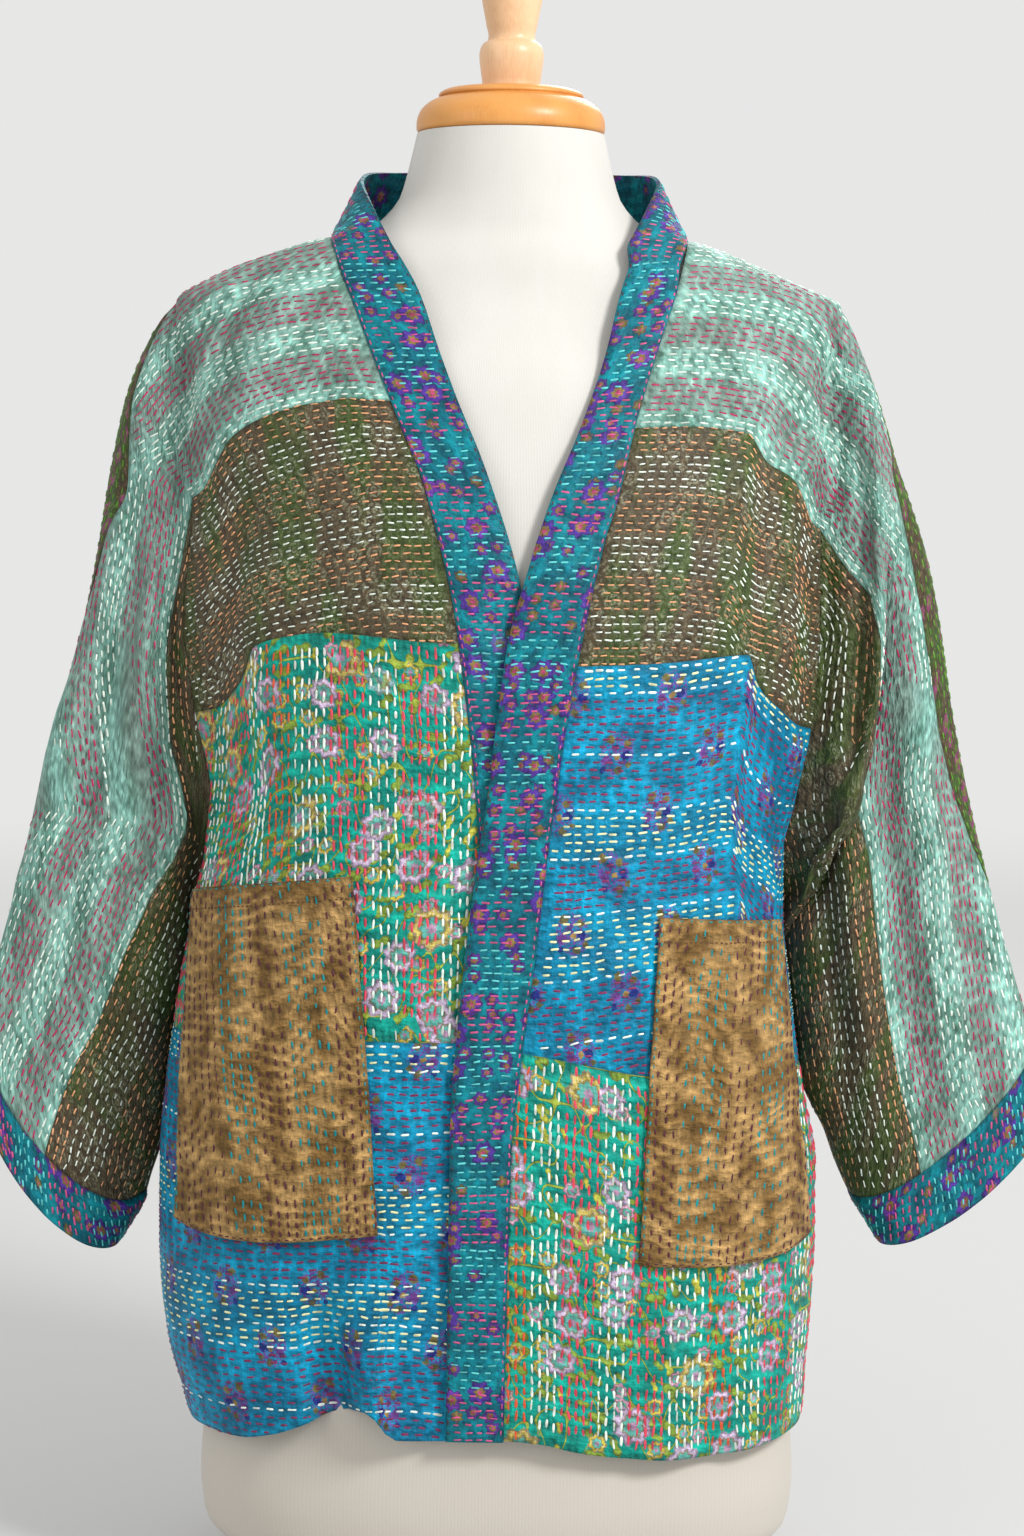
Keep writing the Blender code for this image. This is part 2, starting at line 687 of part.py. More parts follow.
def sleeve_back(side, material):
    """Back of a sleeve, from the armhole to the cuff."""
    s = sleeve_shares(SLEEVE_COLUMNS)
    high = 2 + sleeve_seam(side, "top", s)
    t = high[None, :] + BACK_SHARES[:, None] * (1 - high)[None, :]
    s = np.broadcast_to(s, t.shape)
    points, normals = sleeve_cloth(side, s, t), sleeve_normal(side, s, t)
    edge_z = TIP - (TIP - UNDERARM) * round_share(t[:, 0])
    normals[:, 0] = crease_normal(side, BACK, edge_z, t[:, 0])
    normals[0, 0] = level_ridge(normals[0, 0])
    points = inset(points, EDGE_INSET, EDGE_INSET, UNDERARM_INSET, SEAM_INSET)
    slab(f"sleeve_{side_name(side)}_back", points, normals, WALL, material)


def lower_back(material):
    """The back from the underarm to the hem, side seam to side seam."""
    u = 1 - (1 - np.linspace(0, 1, 10)) ** 1.25
    z = UNDERARM + np.linspace(0, 1, 11)[:, None] * (BACK_HEM - UNDERARM)
    u, z = np.broadcast_arrays(u, z)
    left, right = ((body_cloth(side, BACK, u, z), body_normal(side, BACK, u, z)) for side in (LEFT, RIGHT))
    points, normals = both_halves(left, right)
    points = inset(points, CREASE_INSET, 0, CREASE_INSET, CREASE_INSET)
    slab("back_lower", points, normals, WALL, material)


def band_surface(side, x, z):
    return body_cloth(side, FRONT, column_at(side, x, z), z)


def across_band(seam, free, shares, gap):
    """Points from the seam edge to the free edge, starting a gap away from the seam."""
    span = free - seam
    start = seam + unit(span) * gap
    return start[..., None, :] + (free - start)[..., None, :] * shares[:, None]


BAND_SHARES = np.array([0.0, 0.33, 0.67, 1.0])
BAND_STEPS = 26
COLLAR_STEPS = 6


def collar_rows(side, first, last, steps):
    """Seam and free edges of the standing part of the band, between rows of its table."""
    at = np.linspace(first, last, steps)
    index = np.arange(len(COLLAR["seam_x"]), dtype=float)
    value = {name: smooth(index, COLLAR[name], at) for name in COLLAR}
    seam = np.stack([side * value["seam_x"], value["seam_y"], value["seam_z"]], -1)
    free = np.stack([side * value["free_x"], value["free_y"], value["free_z"]], -1)
    return seam, free


def strip_normals(points, side_sign):
    along = np.gradient(points, axis=0)
    across = np.gradient(points, axis=1)
    return side_sign * unit(np.cross(along, across))


def front_band(side, material):
    """Neckband of one front edge, from hem to shoulder point."""
    rows = BAND_SEAM[side]
    z = np.linspace(109.0, 770.0, BAND_STEPS)
    seam_x = smooth(rows["height"], rows["x"], z)
    free_z = z + smooth(BAND_RISE["height"], BAND_RISE["rise"], z)
    free_rows = BAND_FREE[side]
    free_x = smooth(free_rows["height"], free_rows["x"], free_z)
    x = seam_x[:, None] + BAND_SHARES * (free_x - seam_x)[:, None]
    height = z[:, None] + BAND_SHARES * (free_z - z)[:, None]
    chest = band_surface(side, x, height)
    chest[:, 0] += unit(chest[:, 1] - chest[:, 0]) * EDGE_INSET
    seam, free = collar_rows(side, 0, BACK_COLLAR_FROM, COLLAR_STEPS)
    gaps = np.linspace(1.0, COLLAR_GAP, COLLAR_STEPS)[:, None]
    neck = across_band(seam, free, BAND_SHARES, gaps)
    points = np.concatenate([chest, neck], 0)
    normals = strip_normals(points, side)
    points[-1] += unit(points[-2] - points[-1]) * SEAM_INSET
    slab(f"neckband_{side_name(side)}", points, normals, BAND_WALL, material)


def back_band(material):
    """Neckband round the back of the neck, shoulder point to shoulder point."""
    last = len(COLLAR["seam_x"]) - 1
    left_seam, left_free = collar_rows(LEFT, BACK_COLLAR_FROM, last, 9)
    right_seam, right_free = collar_rows(RIGHT, BACK_COLLAR_FROM, last, 9)
    seam = np.concatenate([left_seam, right_seam[-2::-1]])
    free = np.concatenate([left_free, right_free[-2::-1]])
    points = across_band(seam, free, BAND_SHARES, np.full((len(seam), 1), COLLAR_GAP))
    normals = strip_normals(points, LEFT)
    points = inset(points, SEAM_INSET, SEAM_INSET)
    slab("neckband_back", points, normals, BAND_WALL, material)


def cuff(side, material):
    mint = sleeve_seam(side, "mint", 1.0)
    over, under = np.linspace(0, mint, MINT_ROWS + 1), np.linspace(mint, 1, OLIVE_ROWS + 1)
    front = np.concatenate([over, under[1:]])
    back = (2 - BACK_SHARES)[::-1][1:-1]
    t = np.concatenate([front, back])[:, None]
    s = np.linspace(1.0, 1.1, 4)[None, :]
    s, t = np.broadcast_arrays(s, t)
    points, normals = sleeve_cloth(side, s, t), sleeve_normal(side, s, t)
    points = inset(points, first_column=EDGE_INSET)
    slab(f"cuff_{side_name(side)}", points, normals, CUFF_WALL, material, closed=True)


def pocket(side, material):
    """A patch pocket, made from the front panels' points moved out."""
    shape = POCKETS[side]
    across = np.linspace(0, 1, 13)[None, :]
    down = np.linspace(0, 1, 10)[:, None]
    corner = {name: np.array(place, float) for name, place in shape.items() if name != "dip"}
    top = corner["inner_top"] + across[..., None] * (corner["outer_top"] - corner["inner_top"])
    foot = corner["inner_foot"] + across[..., None] * (corner["outer_foot"] - corner["inner_foot"])
    place = top + down[..., None] * (foot - top)
    x, z = place[..., 0], place[..., 1]
    z = z - shape["dip"] * np.sin(np.pi * across) * down
    inner_u = column_at(side, x[:, :1], z[:, :1])
    outer_u = column_at(side, x[:, -1:], z[:, -1:])
    u = inner_u + across * (outer_u - inner_u)
    normals = body_normal(side, FRONT, u, z)
    out = WALL / 2 + POCKET_GAP + POCKET_WALL / 2
    points = body_cloth(side, FRONT, u, z) + normals * out
    slab(f"pocket_{side_name(side)}", points, normals, POCKET_WALL, material)


def repair_patch(material):
    """A small patch sewn on the back of the right sleeve."""
    along = np.linspace(REPAIR["start"], REPAIR["end"], 6)
    s, t = np.meshgrid(along, np.linspace(REPAIR["low"], REPAIR["high"], 7))
    normals = sleeve_normal(RIGHT, s, t)
    out = WALL / 2 + REPAIR["gap"] + REPAIR["wall"] / 2
    points = sleeve_cloth(RIGHT, s, t) + normals * out
    slab("sleeve_repair_patch", points, normals, REPAIR["wall"], material)


def ring(half, front, back, square, z, segments):
    """One level section of the dress form."""
    points = []
    for i in range(segments):
        angle = 2 * math.pi * i / segments
        c, s = math.cos(angle), math.sin(angle)
        depth = back if s > 0 else front
        x = half * math.copysign(abs(c) ** (2 / square), c)
        y = depth * math.copysign(abs(s) ** (2 / square), s)
        points.append((x * MM, y * MM, z * MM))
    return points


def loft(name, rings, material):
    """Closed body through level rings, capped flat at both ends."""
    bm = bmesh.new()
    levels = [[bm.verts.new(p) for p in points] for points in rings]
    for low, high in zip(levels, levels[1:]):
        count = len(low)
        for i in range(count):
            k = (i + 1) % count
            bm.faces.new((low[i], low[k], high[k], high[i]))
    bm.faces.new(levels[0][::-1])
    bm.faces.new(levels[-1])
    bmesh.ops.recalc_face_normals(bm, faces=bm.faces)
    return make_object(name, bm, material)


def form_rings():
    rings = []
    sizes = ("half", "front", "back", "square")
    for z in np.concatenate([FORM["height"][:5], np.linspace(150, 725, 12)]):
        values = [float(smooth(FORM["height"], FORM[name], z)) for name in sizes]
        rings.append(ring(*values, z, FORM_SEGMENTS))
    for z in (740, 752, 760, 768, 775, 782, 788, 794):
        cloth = z + FORM_CLEAR
        half = min(float(section(side, FRONT, cloth)[0]) for side in (LEFT, RIGHT)) - FORM_CLEAR
        front = float(section(LEFT, FRONT, cloth)[1]) - FORM_DEPTH_CLEAR
        back = float(section(LEFT, BACK, cloth)[1]) - FORM_DEPTH_CLEAR
        rings.append(ring(half, front, back, SHOULDER_SQUARE, z, FORM_SEGMENTS))
    for z, half, front, back in zip(*(FORM_NECK[name] for name in ("height", "half", "front", "back"))):
        rings.append(ring(half, front, back, 2.0, z, FORM_SEGMENTS))
    return rings


def turned(name, profile, material):
    rings = [ring(radius, radius, radius, 2.0, z, TURNED_SEGMENTS) for radius, z in profile]
    return loft(name, rings, material)


def form_base(material):
    inner = BASE_EDGE
    rings = [
        ring(BASE_HALF - inner / 3, BASE_DEPTH - inner / 3, BASE_DEPTH - inner / 3, 2.3, 0.0, FORM_SEGMENTS),
        ring(BASE_HALF, BASE_DEPTH, BASE_DEPTH, 2.3, inner / 3, FORM_SEGMENTS),
        ring(BASE_HALF, BASE_DEPTH, BASE_DEPTH, 2.3, BASE_HEIGHT - inner, FORM_SEGMENTS),
        ring(BASE_HALF - inner, BASE_DEPTH - inner, BASE_DEPTH - inner, 2.3, BASE_HEIGHT, FORM_SEGMENTS),
    ]
    loft("form_base", rings, material)


def build():
    for old in list(bpy.data.objects):
        bpy.data.objects.remove(old)
    mint = make_material("mint_silk", MINT_COLOUR)
    olive = make_material("olive_print", OLIVE_COLOUR)
    floral = make_material("floral_print", FLORAL_COLOUR)
    blue = make_material("blue_print", BLUE_COLOUR)
    green = make_material("green_print", BACK_COLOUR)
    camel = make_material("camel_nap", CAMEL_COLOUR)
    teal = make_material("teal_print", TEAL_COLOUR)
    linen = make_material("cream_linen", LINEN_COLOUR)
    maple = make_material("maple", MAPLE_COLOUR, 0.35)
    pale_wood = make_material("pale_wood", PALE_WOOD_COLOUR, 0.4)

    for side in (LEFT, RIGHT):
        mint_front(side, mint)
        front_panel(side, "olive", mint_line(side), seam_line(side, CHEST_SEAM[side]), 8, olive)
        sleeve_under_front(side, olive)
        front_band(side, teal)
        cuff(side, teal)
        pocket(side, camel)
    upper = {LEFT: ("floral", floral), RIGHT: ("blue", blue)}
    lower = {LEFT: ("blue", blue), RIGHT: ("floral", floral)}
    for side in (LEFT, RIGHT):
        chest, hip, hem = (seam_line(side, rows[side]) for rows in (CHEST_SEAM, HIP_SEAM, HEM))
        front_panel(side, upper[side][0], chest, hip, 12, upper[side][1])
        front_panel(side, lower[side][0], hip, hem, 10, lower[side][1], 0.0)
        sleeve_back(side, green)
    upper_back(green)
    lower_back(floral)
    back_band(teal)
    repair_patch(make_material("patch_silk", PATCH_COLOUR))
    loft("form_body", form_rings(), linen)
    form_base(pale_wood)
    turned("neck_cap", CAP_PROFILE, maple)
    turned("neck_finial", FINIAL_PROFILE, pale_wood)


build()
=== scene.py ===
"""Looks of a patchwork kimono jacket on a limbless dress form.

The cloth repeats the part's own tables and surfaces, in millimetres, on finer meshes with creases,
puckers and raised running stitches. "Left" is at -X, on the left as seen from the front.
"""

import math
from functools import partialmethod

import bpy
import numpy as np
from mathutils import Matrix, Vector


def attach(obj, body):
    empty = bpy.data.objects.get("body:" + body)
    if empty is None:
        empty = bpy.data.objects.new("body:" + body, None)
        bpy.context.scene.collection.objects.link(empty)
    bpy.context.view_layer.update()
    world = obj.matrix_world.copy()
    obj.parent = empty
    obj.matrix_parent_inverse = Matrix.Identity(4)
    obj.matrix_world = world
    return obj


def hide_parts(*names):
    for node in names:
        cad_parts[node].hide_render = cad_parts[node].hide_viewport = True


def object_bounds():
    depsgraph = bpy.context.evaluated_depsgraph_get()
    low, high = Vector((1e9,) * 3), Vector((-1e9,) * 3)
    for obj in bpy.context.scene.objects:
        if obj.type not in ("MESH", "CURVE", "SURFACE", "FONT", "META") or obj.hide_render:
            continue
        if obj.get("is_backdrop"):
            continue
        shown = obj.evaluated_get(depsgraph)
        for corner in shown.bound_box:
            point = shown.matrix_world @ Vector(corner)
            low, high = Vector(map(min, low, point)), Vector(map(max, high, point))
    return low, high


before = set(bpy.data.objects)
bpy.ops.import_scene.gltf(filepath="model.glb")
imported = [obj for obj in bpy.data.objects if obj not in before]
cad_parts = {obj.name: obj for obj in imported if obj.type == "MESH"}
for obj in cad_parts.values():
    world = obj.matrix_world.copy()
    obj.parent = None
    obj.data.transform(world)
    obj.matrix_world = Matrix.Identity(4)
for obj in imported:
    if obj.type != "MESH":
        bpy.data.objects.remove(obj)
cad_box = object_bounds()

MM = 0.001
TURN = 2 * math.pi
FRONT, BACK = -1, 1
LEFT, RIGHT = -1, 1
FACE_NAMES = {FRONT: "front", BACK: "back"}
SIDE_NAMES = {LEFT: "left", RIGHT: "right"}

# Cloth
WALL = 2.0
BAND_WALL = 2.8
CUFF_WALL = 2.6
POCKET_WALL = 2.2
PATCH_WALL = 1.2
CREASE_LAP = 0.9
LAP_SINK, LAP_RAMP, LAP_FULL = 4.6, 26.0, 4.0

# Heights that the cut is set out from
TIP = 763.0
UNDERARM = 408.0
NECK_POINT = 801.0
BACK_NECK = 799.0
BACK_HEM = 103.0
SHOULDER_STEPS = 400

# Rounds that bring a seam's height, and a panel's rows, to rest
SEAM_ROUNDS, ROW_ROUNDS = 12, 30


def table(columns, *rows):
    """Named columns of a short table, one tuple for each row."""
    return {name: np.array(values, float) for name, values in zip(columns.split(), zip(*rows))}


# Half widths and depths of the cloth round the body, with the squareness of each section
BODY = table(
    "height left right front back square",
    (60, 178, 176, 131, 122, 2.6),
    (100, 187, 184, 132, 123, 2.6),
    (150, 200, 187, 133, 125, 2.5),
    (200, 205, 190, 134, 126, 2.4),
    (250, 205, 190, 133.5, 125, 2.4),
    (300, 201, 181, 132.5, 121, 2.4),
    (350, 194, 174, 131.5, 118, 2.3),
    (408, 184, 168, 130, 115, 2.3),
    (440, 178, 168, 129, 114, 2.3),
    (470, 177, 176, 128, 114, 2.25),
    (520, 188, 187, 127, 114, 2.2),
    (575, 195, 191, 125, 115, 2.2),
    (640, 191, 191, 116, 114, 2.1),
    (700, 195, 195, 99, 106, 2.05),
    (745, 199, 199, 84, 95, 2.0),
    (763, 197, 197, 76, 89, 2.0),
    (776, 177, 170, 71, 85, 2.0),
    (784, 160, 152, 68.5, 82, 2.0),
    (792, 137, 133, 66, 80, 2.0),
    (797, 122, 119, 64.5, 79, 2.0),
    (801, 105, 105, 63, 78, 2.0),
    (808, 88, 88, 61, 75, 2.0),
    (816, 74, 74, 59, 70, 2.0),
)

# How far round its section the body cloth reaches, in degrees from the middle
ARMHOLE = table(
    "height reach",
    (408, 90), (420, 88.1), (440, 84.3), (460, 79.9), (478, 76.8), (600, 75), (700, 75.5), (740, 79),
    (755, 84), (763, 90),
)

# Sections of each sleeve from armhole (0) to cuff seam (1) and cuff edge (1.1): the outer and
# the inner end of each, how far the front and back stand off the line between the ends,
# how far they sag along the sleeve, and how far the front is pushed outwards
SLEEVES = {
    LEFT: table(
        "share outer_x outer_y outer_z inner_x inner_y inner_z front back front_sag back_sag push",
        (0.00, 197, 0, 763, 184, 0, 408, 42, 42, 0, 0, 0),
        (0.02, 202, 1, 757, 189, 2, 406, 43, 44, 0, 0, 1),
        (0.06, 212, 3, 743, 191, 6, 398, 46, 48, 0, 0, 5),
        (0.14, 224, 6, 716, 193, 8, 389, 50, 52, 0, 0, 5),
        (0.25, 235, 8, 672, 197, 10, 372, 49, 54, 0, 0, 2),
        (0.40, 247, 10, 598, 203, 12, 345, 47, 54, 3, 2, 0),
        (0.55, 262, 10, 532, 208, 14, 318, 45, 52, 8, 3, 0),
        (0.70, 277, 8, 466, 211, 14, 290, 42, 48, 15, 4, 0),
        (0.85, 290, 5, 404, 212, 12, 258, 37, 42, 25, 5, 0),
        (1.00, 303, 0, 344, 216, 6, 224, 31, 34, 31, 6, 0),
        (1.10, 306, -2, 302, 232, 2, 194, 27, 30, 24, 6, 0),
    ),
    RIGHT: table(
        "share outer_x outer_y outer_z inner_x inner_y inner_z front back front_sag back_sag push",
        (0.00, 197, 0, 763, 168, 0, 408, 42, 42, 0, 0, 0),
        (0.02, 202, 1, 755, 173.5, 2, 406, 46, 44, 0, 0, 3),
        (0.05, 208, 2, 741, 175, 6, 399, 58, 46, 0, 0, 12),
        (0.10, 216, 4, 719, 177, 8, 391, 70, 50, 0, 0, 20),
        (0.15, 224, 6, 696, 178, 10, 383, 58, 52, 0, 0, 18),
        (0.20, 232, 8, 674, 179, 10, 376, 40, 54, 0, 0, 4),
        (0.28, 244, 9, 640, 182, 12, 363, 43, 54, 0, 0, 0),
        (0.40, 257, 10, 592, 186, 14, 343, 47, 54, 2, 2, 0),
        (0.55, 268, 10, 525, 189, 16, 318, 46, 52, 4, 3, 0),
        (0.70, 281, 8, 462, 193, 16, 287, 43, 48, 8, 4, 0),
        (0.85, 298, 5, 396, 202, 12, 256, 38, 42, 13, 5, 0),
        (1.00, 317, 0, 330, 213, 6, 230, 31, 34, 18, 6, 0),
        (1.10, 328, -2, 288, 231, 2, 203, 27, 30, 18, 6, 0),
    ),
}
SLEEVE_FULL = 0.62
SLEEVE_BLEND = 0.6

# Where the inside of each sleeve hangs against the body: lowest, highest, and how far it leans in
SLEEVE_REST = {LEFT: (225.0, 412.0, 7.0), RIGHT: (262.0, 422.0, 9.5)}
REST_SPREAD, REST_RISE, REST_FALL = 0.3, 45, 30

# Where the front meets the back along the sleeve's outer edge, and mint meets olive,
# as a share of the way round from the outer to the inner end
SLEEVE_SEAMS = {
    LEFT: table(
        "share top mint",
        (0.00, 0.00, 0.389), (0.06, 0.07, 0.60), (0.12, 0.13, 0.73), (0.22, 0.21, 0.72),
        (0.35, 0.10, 0.69), (0.50, 0.02, 0.67), (0.70, 0.00, 0.645), (0.85, 0.00, 0.60),
        (1.10, 0.00, 0.56),
    ),
    RIGHT: table(
        "share top mint",
        (0.00, 0.00, 0.416), (0.08, 0.06, 0.46), (0.20, 0.13, 0.54), (0.35, 0.20, 0.57),
        (0.50, 0.20, 0.57), (0.70, 0.14, 0.59), (0.85, 0.02, 0.62), (1.10, 0.00, 0.66),
    ),
}

# Seams between the front patches: height at each distance from the middle
MINT_SEAM = {
    LEFT: table(
        "x height",
        (40, 702), (66, 703), (91, 704), (113, 701), (142, 692), (160, 680), (176, 655), (187, 647),
    ),
    RIGHT: table(
        "x height",
        (40, 688), (72, 689), (109, 690), (138, 687), (150, 670), (167, 660), (178, 634), (187, 627),
    ),
}
CHEST_SEAM = {
    LEFT: table(
        "x height",
        (0, 566), (27, 566), (102, 571), (125, 568), (143, 562), (154, 540), (174, 523), (190, 518),
    ),
    RIGHT: table(
        "x height",
        (0, 553), (43, 554), (92, 556), (141, 560), (147, 543), (160, 528), (171, 518), (190, 512),
    ),
}
HIP_SEAM = {
    LEFT: table("x height", (-10, 338), (24, 339), (69, 339), (120, 336), (200, 330)),
    RIGHT: table("x height", (0, 335), (19, 333), (53, 326), (84, 320), (130, 316), (200, 312)),
}
HEM = {
    LEFT: table(
        "x height",
        (-45, 109), (30, 108), (56, 109), (64, 115), (72, 126),
        (96, 120), (115, 112), (130, 106), (160, 100), (190, 99),
    ),
    RIGHT: table(
        "x height",
        (-40, 109), (0, 110), (25, 108), (52, 102), (95, 97), (123, 95), (145, 96), (190, 100),
    ),
}

# The neckband's seam edge and free edge down each front: distance out from the middle,
# which is negative where the edge crosses to the other side
BAND_SEAM = {
    LEFT: table(
        "height x",
        (90, -3), (230, -1), (340, 4), (440, 12), (512, 19), (552, 24), (586, 29), (620, 37),
        (659, 48), (687, 60), (723, 75), (758, 89), (783, 99), (796, 103.5), (801, 105),
    ),
    RIGHT: table(
        "height x",
        (90, 4), (276, 7), (328, 12), (386, 19), (449, 26), (517, 35), (554, 41), (624, 56),
        (647, 63), (689, 73), (731, 85), (758, 94), (783, 101), (796, 104), (801, 105),
    ),
}
BAND_FREE = {
    LEFT: table(
        "height x",
        (90, -43), (230, -41), (340, -36), (440, -28), (512, -21), (560, -15), (602, -8),
        (630, 0), (670, 14), (704, 28.5), (734, 40), (765, 51), (785, 62), (798, 71),
    ),
    RIGHT: table(
        "height x",
        (90, -29), (288, -28), (363, -23), (444, -14), (478, -9), (523, -4), (568, 2),
        (602, 11), (647, 25), (692, 43), (731, 56), (765, 64), (785, 70), (798, 75),
    ),
}
BAND_RISE = table("height rise", (90, 0), (540, 0), (640, 9), (700, 13), (758, 13))

# The band round the neck, from the chest to the middle of the back
COLLAR = table(
    "seam_x seam_y seam_z free_x free_y free_z",
    (99, -55, 783, 69, -57, 796),
    (103.5, -36, 796, 80, -36, 817),
    (105, 0, 801, 88, -6, 835),
    (96, 34, 800.5, 84, 26, 842),
    (74, 58.5, 799.5, 66, 55, 845),
    (38, 74, 799, 34, 70, 847),
    (0, 79, 799, 0, 75, 848),
)
COLLAR_GAP = 0.3
BACK_COLLAR_FROM = 2

# Large folds of the body cloth: side, face, distance out and height of the top and of the foot,
# how far the fold stands out, and its width
FOLDS = (
    (LEFT, FRONT, 156, 650, 165, 560, -5, 13),
    (LEFT, FRONT, 102, 182, 88, 95, -13, 12),
    (LEFT, FRONT, 72, 180, 68, 95, 7, 10),
    (RIGHT, FRONT, 112, 165, 122, 95, -5, 16),
    (LEFT, BACK, 120, 690, 132, 130, 8, 18),
    (RIGHT, BACK, 128, 680, 120, 130, 8, 18),
    (LEFT, BACK, 60, 420, 72, 100, -6, 22),
    (RIGHT, BACK, 52, 440, 60, 100, -6, 22),
)
FOLD_FADE = 45.0

# Patch pockets on the front panels: distance out and height of the outer top, inner top, inner foot
# and outer foot, and how far the foot dips
POCKETS = {
    LEFT: ((181, 413), (84, 433), (68, 229), (189, 224), 7.0),
    RIGHT: ((161, 402), (89, 411), (80, 212), (181, 218), 6.0),
}
POCKET_GAP, POCKET_LIFT, POCKET_PUFF = 0.9, 0.5, 1.4

# Repair patch on the back of the right sleeve, as shares along and round the sleeve
PATCH_ALONG, PATCH_ROUND = (0.30, 0.42), (1.60, 1.93)
PATCH_GAP = 0.5

# The dress form under the cloth. Above its chest it follows the cloth at a small clearance.
FORM = table(
    "height half front back square",
    (22.3, 160, 104, 99, 2.4),
    (25, 169, 112, 107, 2.4),
    (32, 176, 118, 113, 2.4),
    (46, 179, 121, 116, 2.4),
    (100, 178, 121, 116, 2.4),
    (190, 178, 121, 118, 2.3),
    (250, 169, 116, 116, 2.25),
    (310, 144, 104, 104, 2.2),
    (350, 126, 96, 93, 2.2),
    (390, 118, 92, 87, 2.2),
    (440, 123, 98, 90, 2.2),
    (490, 137, 111, 96, 2.2),
    (540, 150, 119, 102, 2.2),
    (590, 157, 116, 106, 2.2),
    (640, 165, 108, 107, 2.1),
    (690, 174, 95, 103, 2.05),
    (725, 184, 84, 97, 2.0),
)
# Round sections of its neck: height, half width, front and back depth
FORM_NECK = (
    (806, 84, 57, 68),
    (815, 73, 56.5, 62),
    (824, 66, 56, 58),
    (836, 62, 56, 56.5),
    (850, 58.5, 56, 56),
    (863, 55.5, 55.5, 55.5),
)
FORM_CLEAR = 1.8
FORM_DEPTH_CLEAR = 4.5
SHOULDER_SQUARE = 1.85
SHOULDER_RINGS = (740, 752, 760, 768, 775, 782, 788, 794)
SHOULDER_SINK = 5.0
SHOULDER_SINK_FADE = (752, 794)
FORM_FOOT_RINGS, FORM_RINGS = 5, (150, 725, 12)
FORM_POINTS = 144
FORM_LEVEL_STEP = 6.5

# Turned wood on the neck: radius at each height
CAP_SHAPE = (
    (54.6, 863.4), (55.6, 864.6), (56.0, 868.0), (55.5, 872.0), (53.6, 876.4), (50.2, 880.0), (46.0, 882.6),
    (43.0, 883.7), (42.0, 884.0), (42.0, 884.5), (42.9, 885.0), (42.9, 886.2), (42.0, 887.0), (20.0, 887.3),
)
FINIAL_SHAPE = (
    (15.2, 887.5), (16.6, 888.4), (17.3, 894.0), (18.3, 901.0), (19.0, 907.0), (19.0, 911.0), (17.9, 914.6),
    (15.8, 917.0), (14.5, 917.6), (14.1, 918.6), (15.3, 928.0), (17.0, 937.0), (18.7, 946.0), (20.2, 953.0),
    (21.4, 960.0), (21.0, 966.0), (18.4, 971.5), (13.0, 975.6), (6.0, 977.6),
)
TURNED_POINTS = 96
TURNED_STEP = 0.95


def hermite(values, slopes, low, gap, share):
    """The smooth curve between points low and low + 1, at a share of the gap between them."""
    return (
        values[low] * (2 * share**3 - 3 * share**2 + 1)
        + values[low + 1] * (3 * share**2 - 2 * share**3)
        + gap * (slopes[low] * (share**3 - 2 * share**2 + share) + slopes[low + 1] * (share**3 - share**2))
    )


def smooth(xs, ys, at):
    """Monotone cubic through a table's points, held flat past its ends."""
    at = np.clip(np.asarray(at, float), xs[0], xs[-1])
    step = np.diff(xs)
    slope = np.diff(ys) / step
    both = slope[:-1] * slope[1:]
    total = slope[:-1] + slope[1:]
    inner = np.where(both > 0, 2 * both / np.where(total == 0, 1, total), 0)
    slopes = np.concatenate([slope[:1], inner, slope[-1:]])
    low = np.clip(np.searchsorted(xs, at, side="right") - 1, 0, len(xs) - 2)
    return hermite(ys, slopes, low, step[low], (at - xs[low]) / step[low])


def look_up(rows, column, at):
    """A column of a table, where the table's first column has the value at."""
    return smooth(next(iter(rows.values())), rows[column], at)


def ease(low, high, at):
    """0 below low, 1 above high, with a soft step between."""
    w = np.clip((np.asarray(at, float) - low) / (high - low), 0, 1)
    return w * w * (3 - 2 * w)


def unit(v):
    return v / np.maximum(np.linalg.norm(v, axis=-1, keepdims=True), 1e-9)


def section(side, face, z):
    """Half width, depth and squareness of the body cloth at height z."""
    return [look_up(BODY, column, z) for column in (SIDE_NAMES[side], FACE_NAMES[face], "square")]


def reach(z):
    return np.radians(look_up(ARMHOLE, "reach", z))


def body_base(side, face, u, z):
    """The cloth without folds: u runs from 0 at the middle to 1 at the armhole or side seam."""
    u, z = np.broadcast_arrays(np.asarray(u, float), np.asarray(z, float))
    half, depth, square = section(side, face, z)
    column_half = section(side, face, np.minimum(z, TIP))[0]
    turn = np.sin(np.clip(u, -1, 1) * reach(z))
    out = column_half * np.sign(turn) * np.abs(turn) ** (2 / square)
    ratio = np.clip(np.abs(out) / half, 0, 1)
    y = face * depth * (1 - ratio**square) ** (1 / square)
    return np.stack([side * out, y, z], -1)


def column_at(side, x, z):
    """The u of the point that lies x out from the middle at height z."""
    half, _, square = section(side, FRONT, np.minimum(z, TIP))
    ratio = np.clip(np.abs(x) / half, 0, 1)
    return np.sign(x) * np.arcsin(ratio ** (square / 2)) / reach(z)


def fold_depth(side, face, points):
    """How far the large folds push the cloth out at these points."""
    x, z = np.abs(points[..., 0]), points[..., 2]
    shift = np.zeros_like(x)
    for on_side, on_face, top_x, top, foot_x, foot, out, width in FOLDS:
        if (on_side, on_face) == (side, face):
            line = top_x + np.clip((top - z) / (top - foot), 0, 1) * (foot_x - top_x)
            run = ease(top + FOLD_FADE, top - FOLD_FADE, z) * ease(foot - 2 * FOLD_FADE, foot, z)
            shift += out * run * np.exp(-(((x - line) / width) ** 2))
    return shift


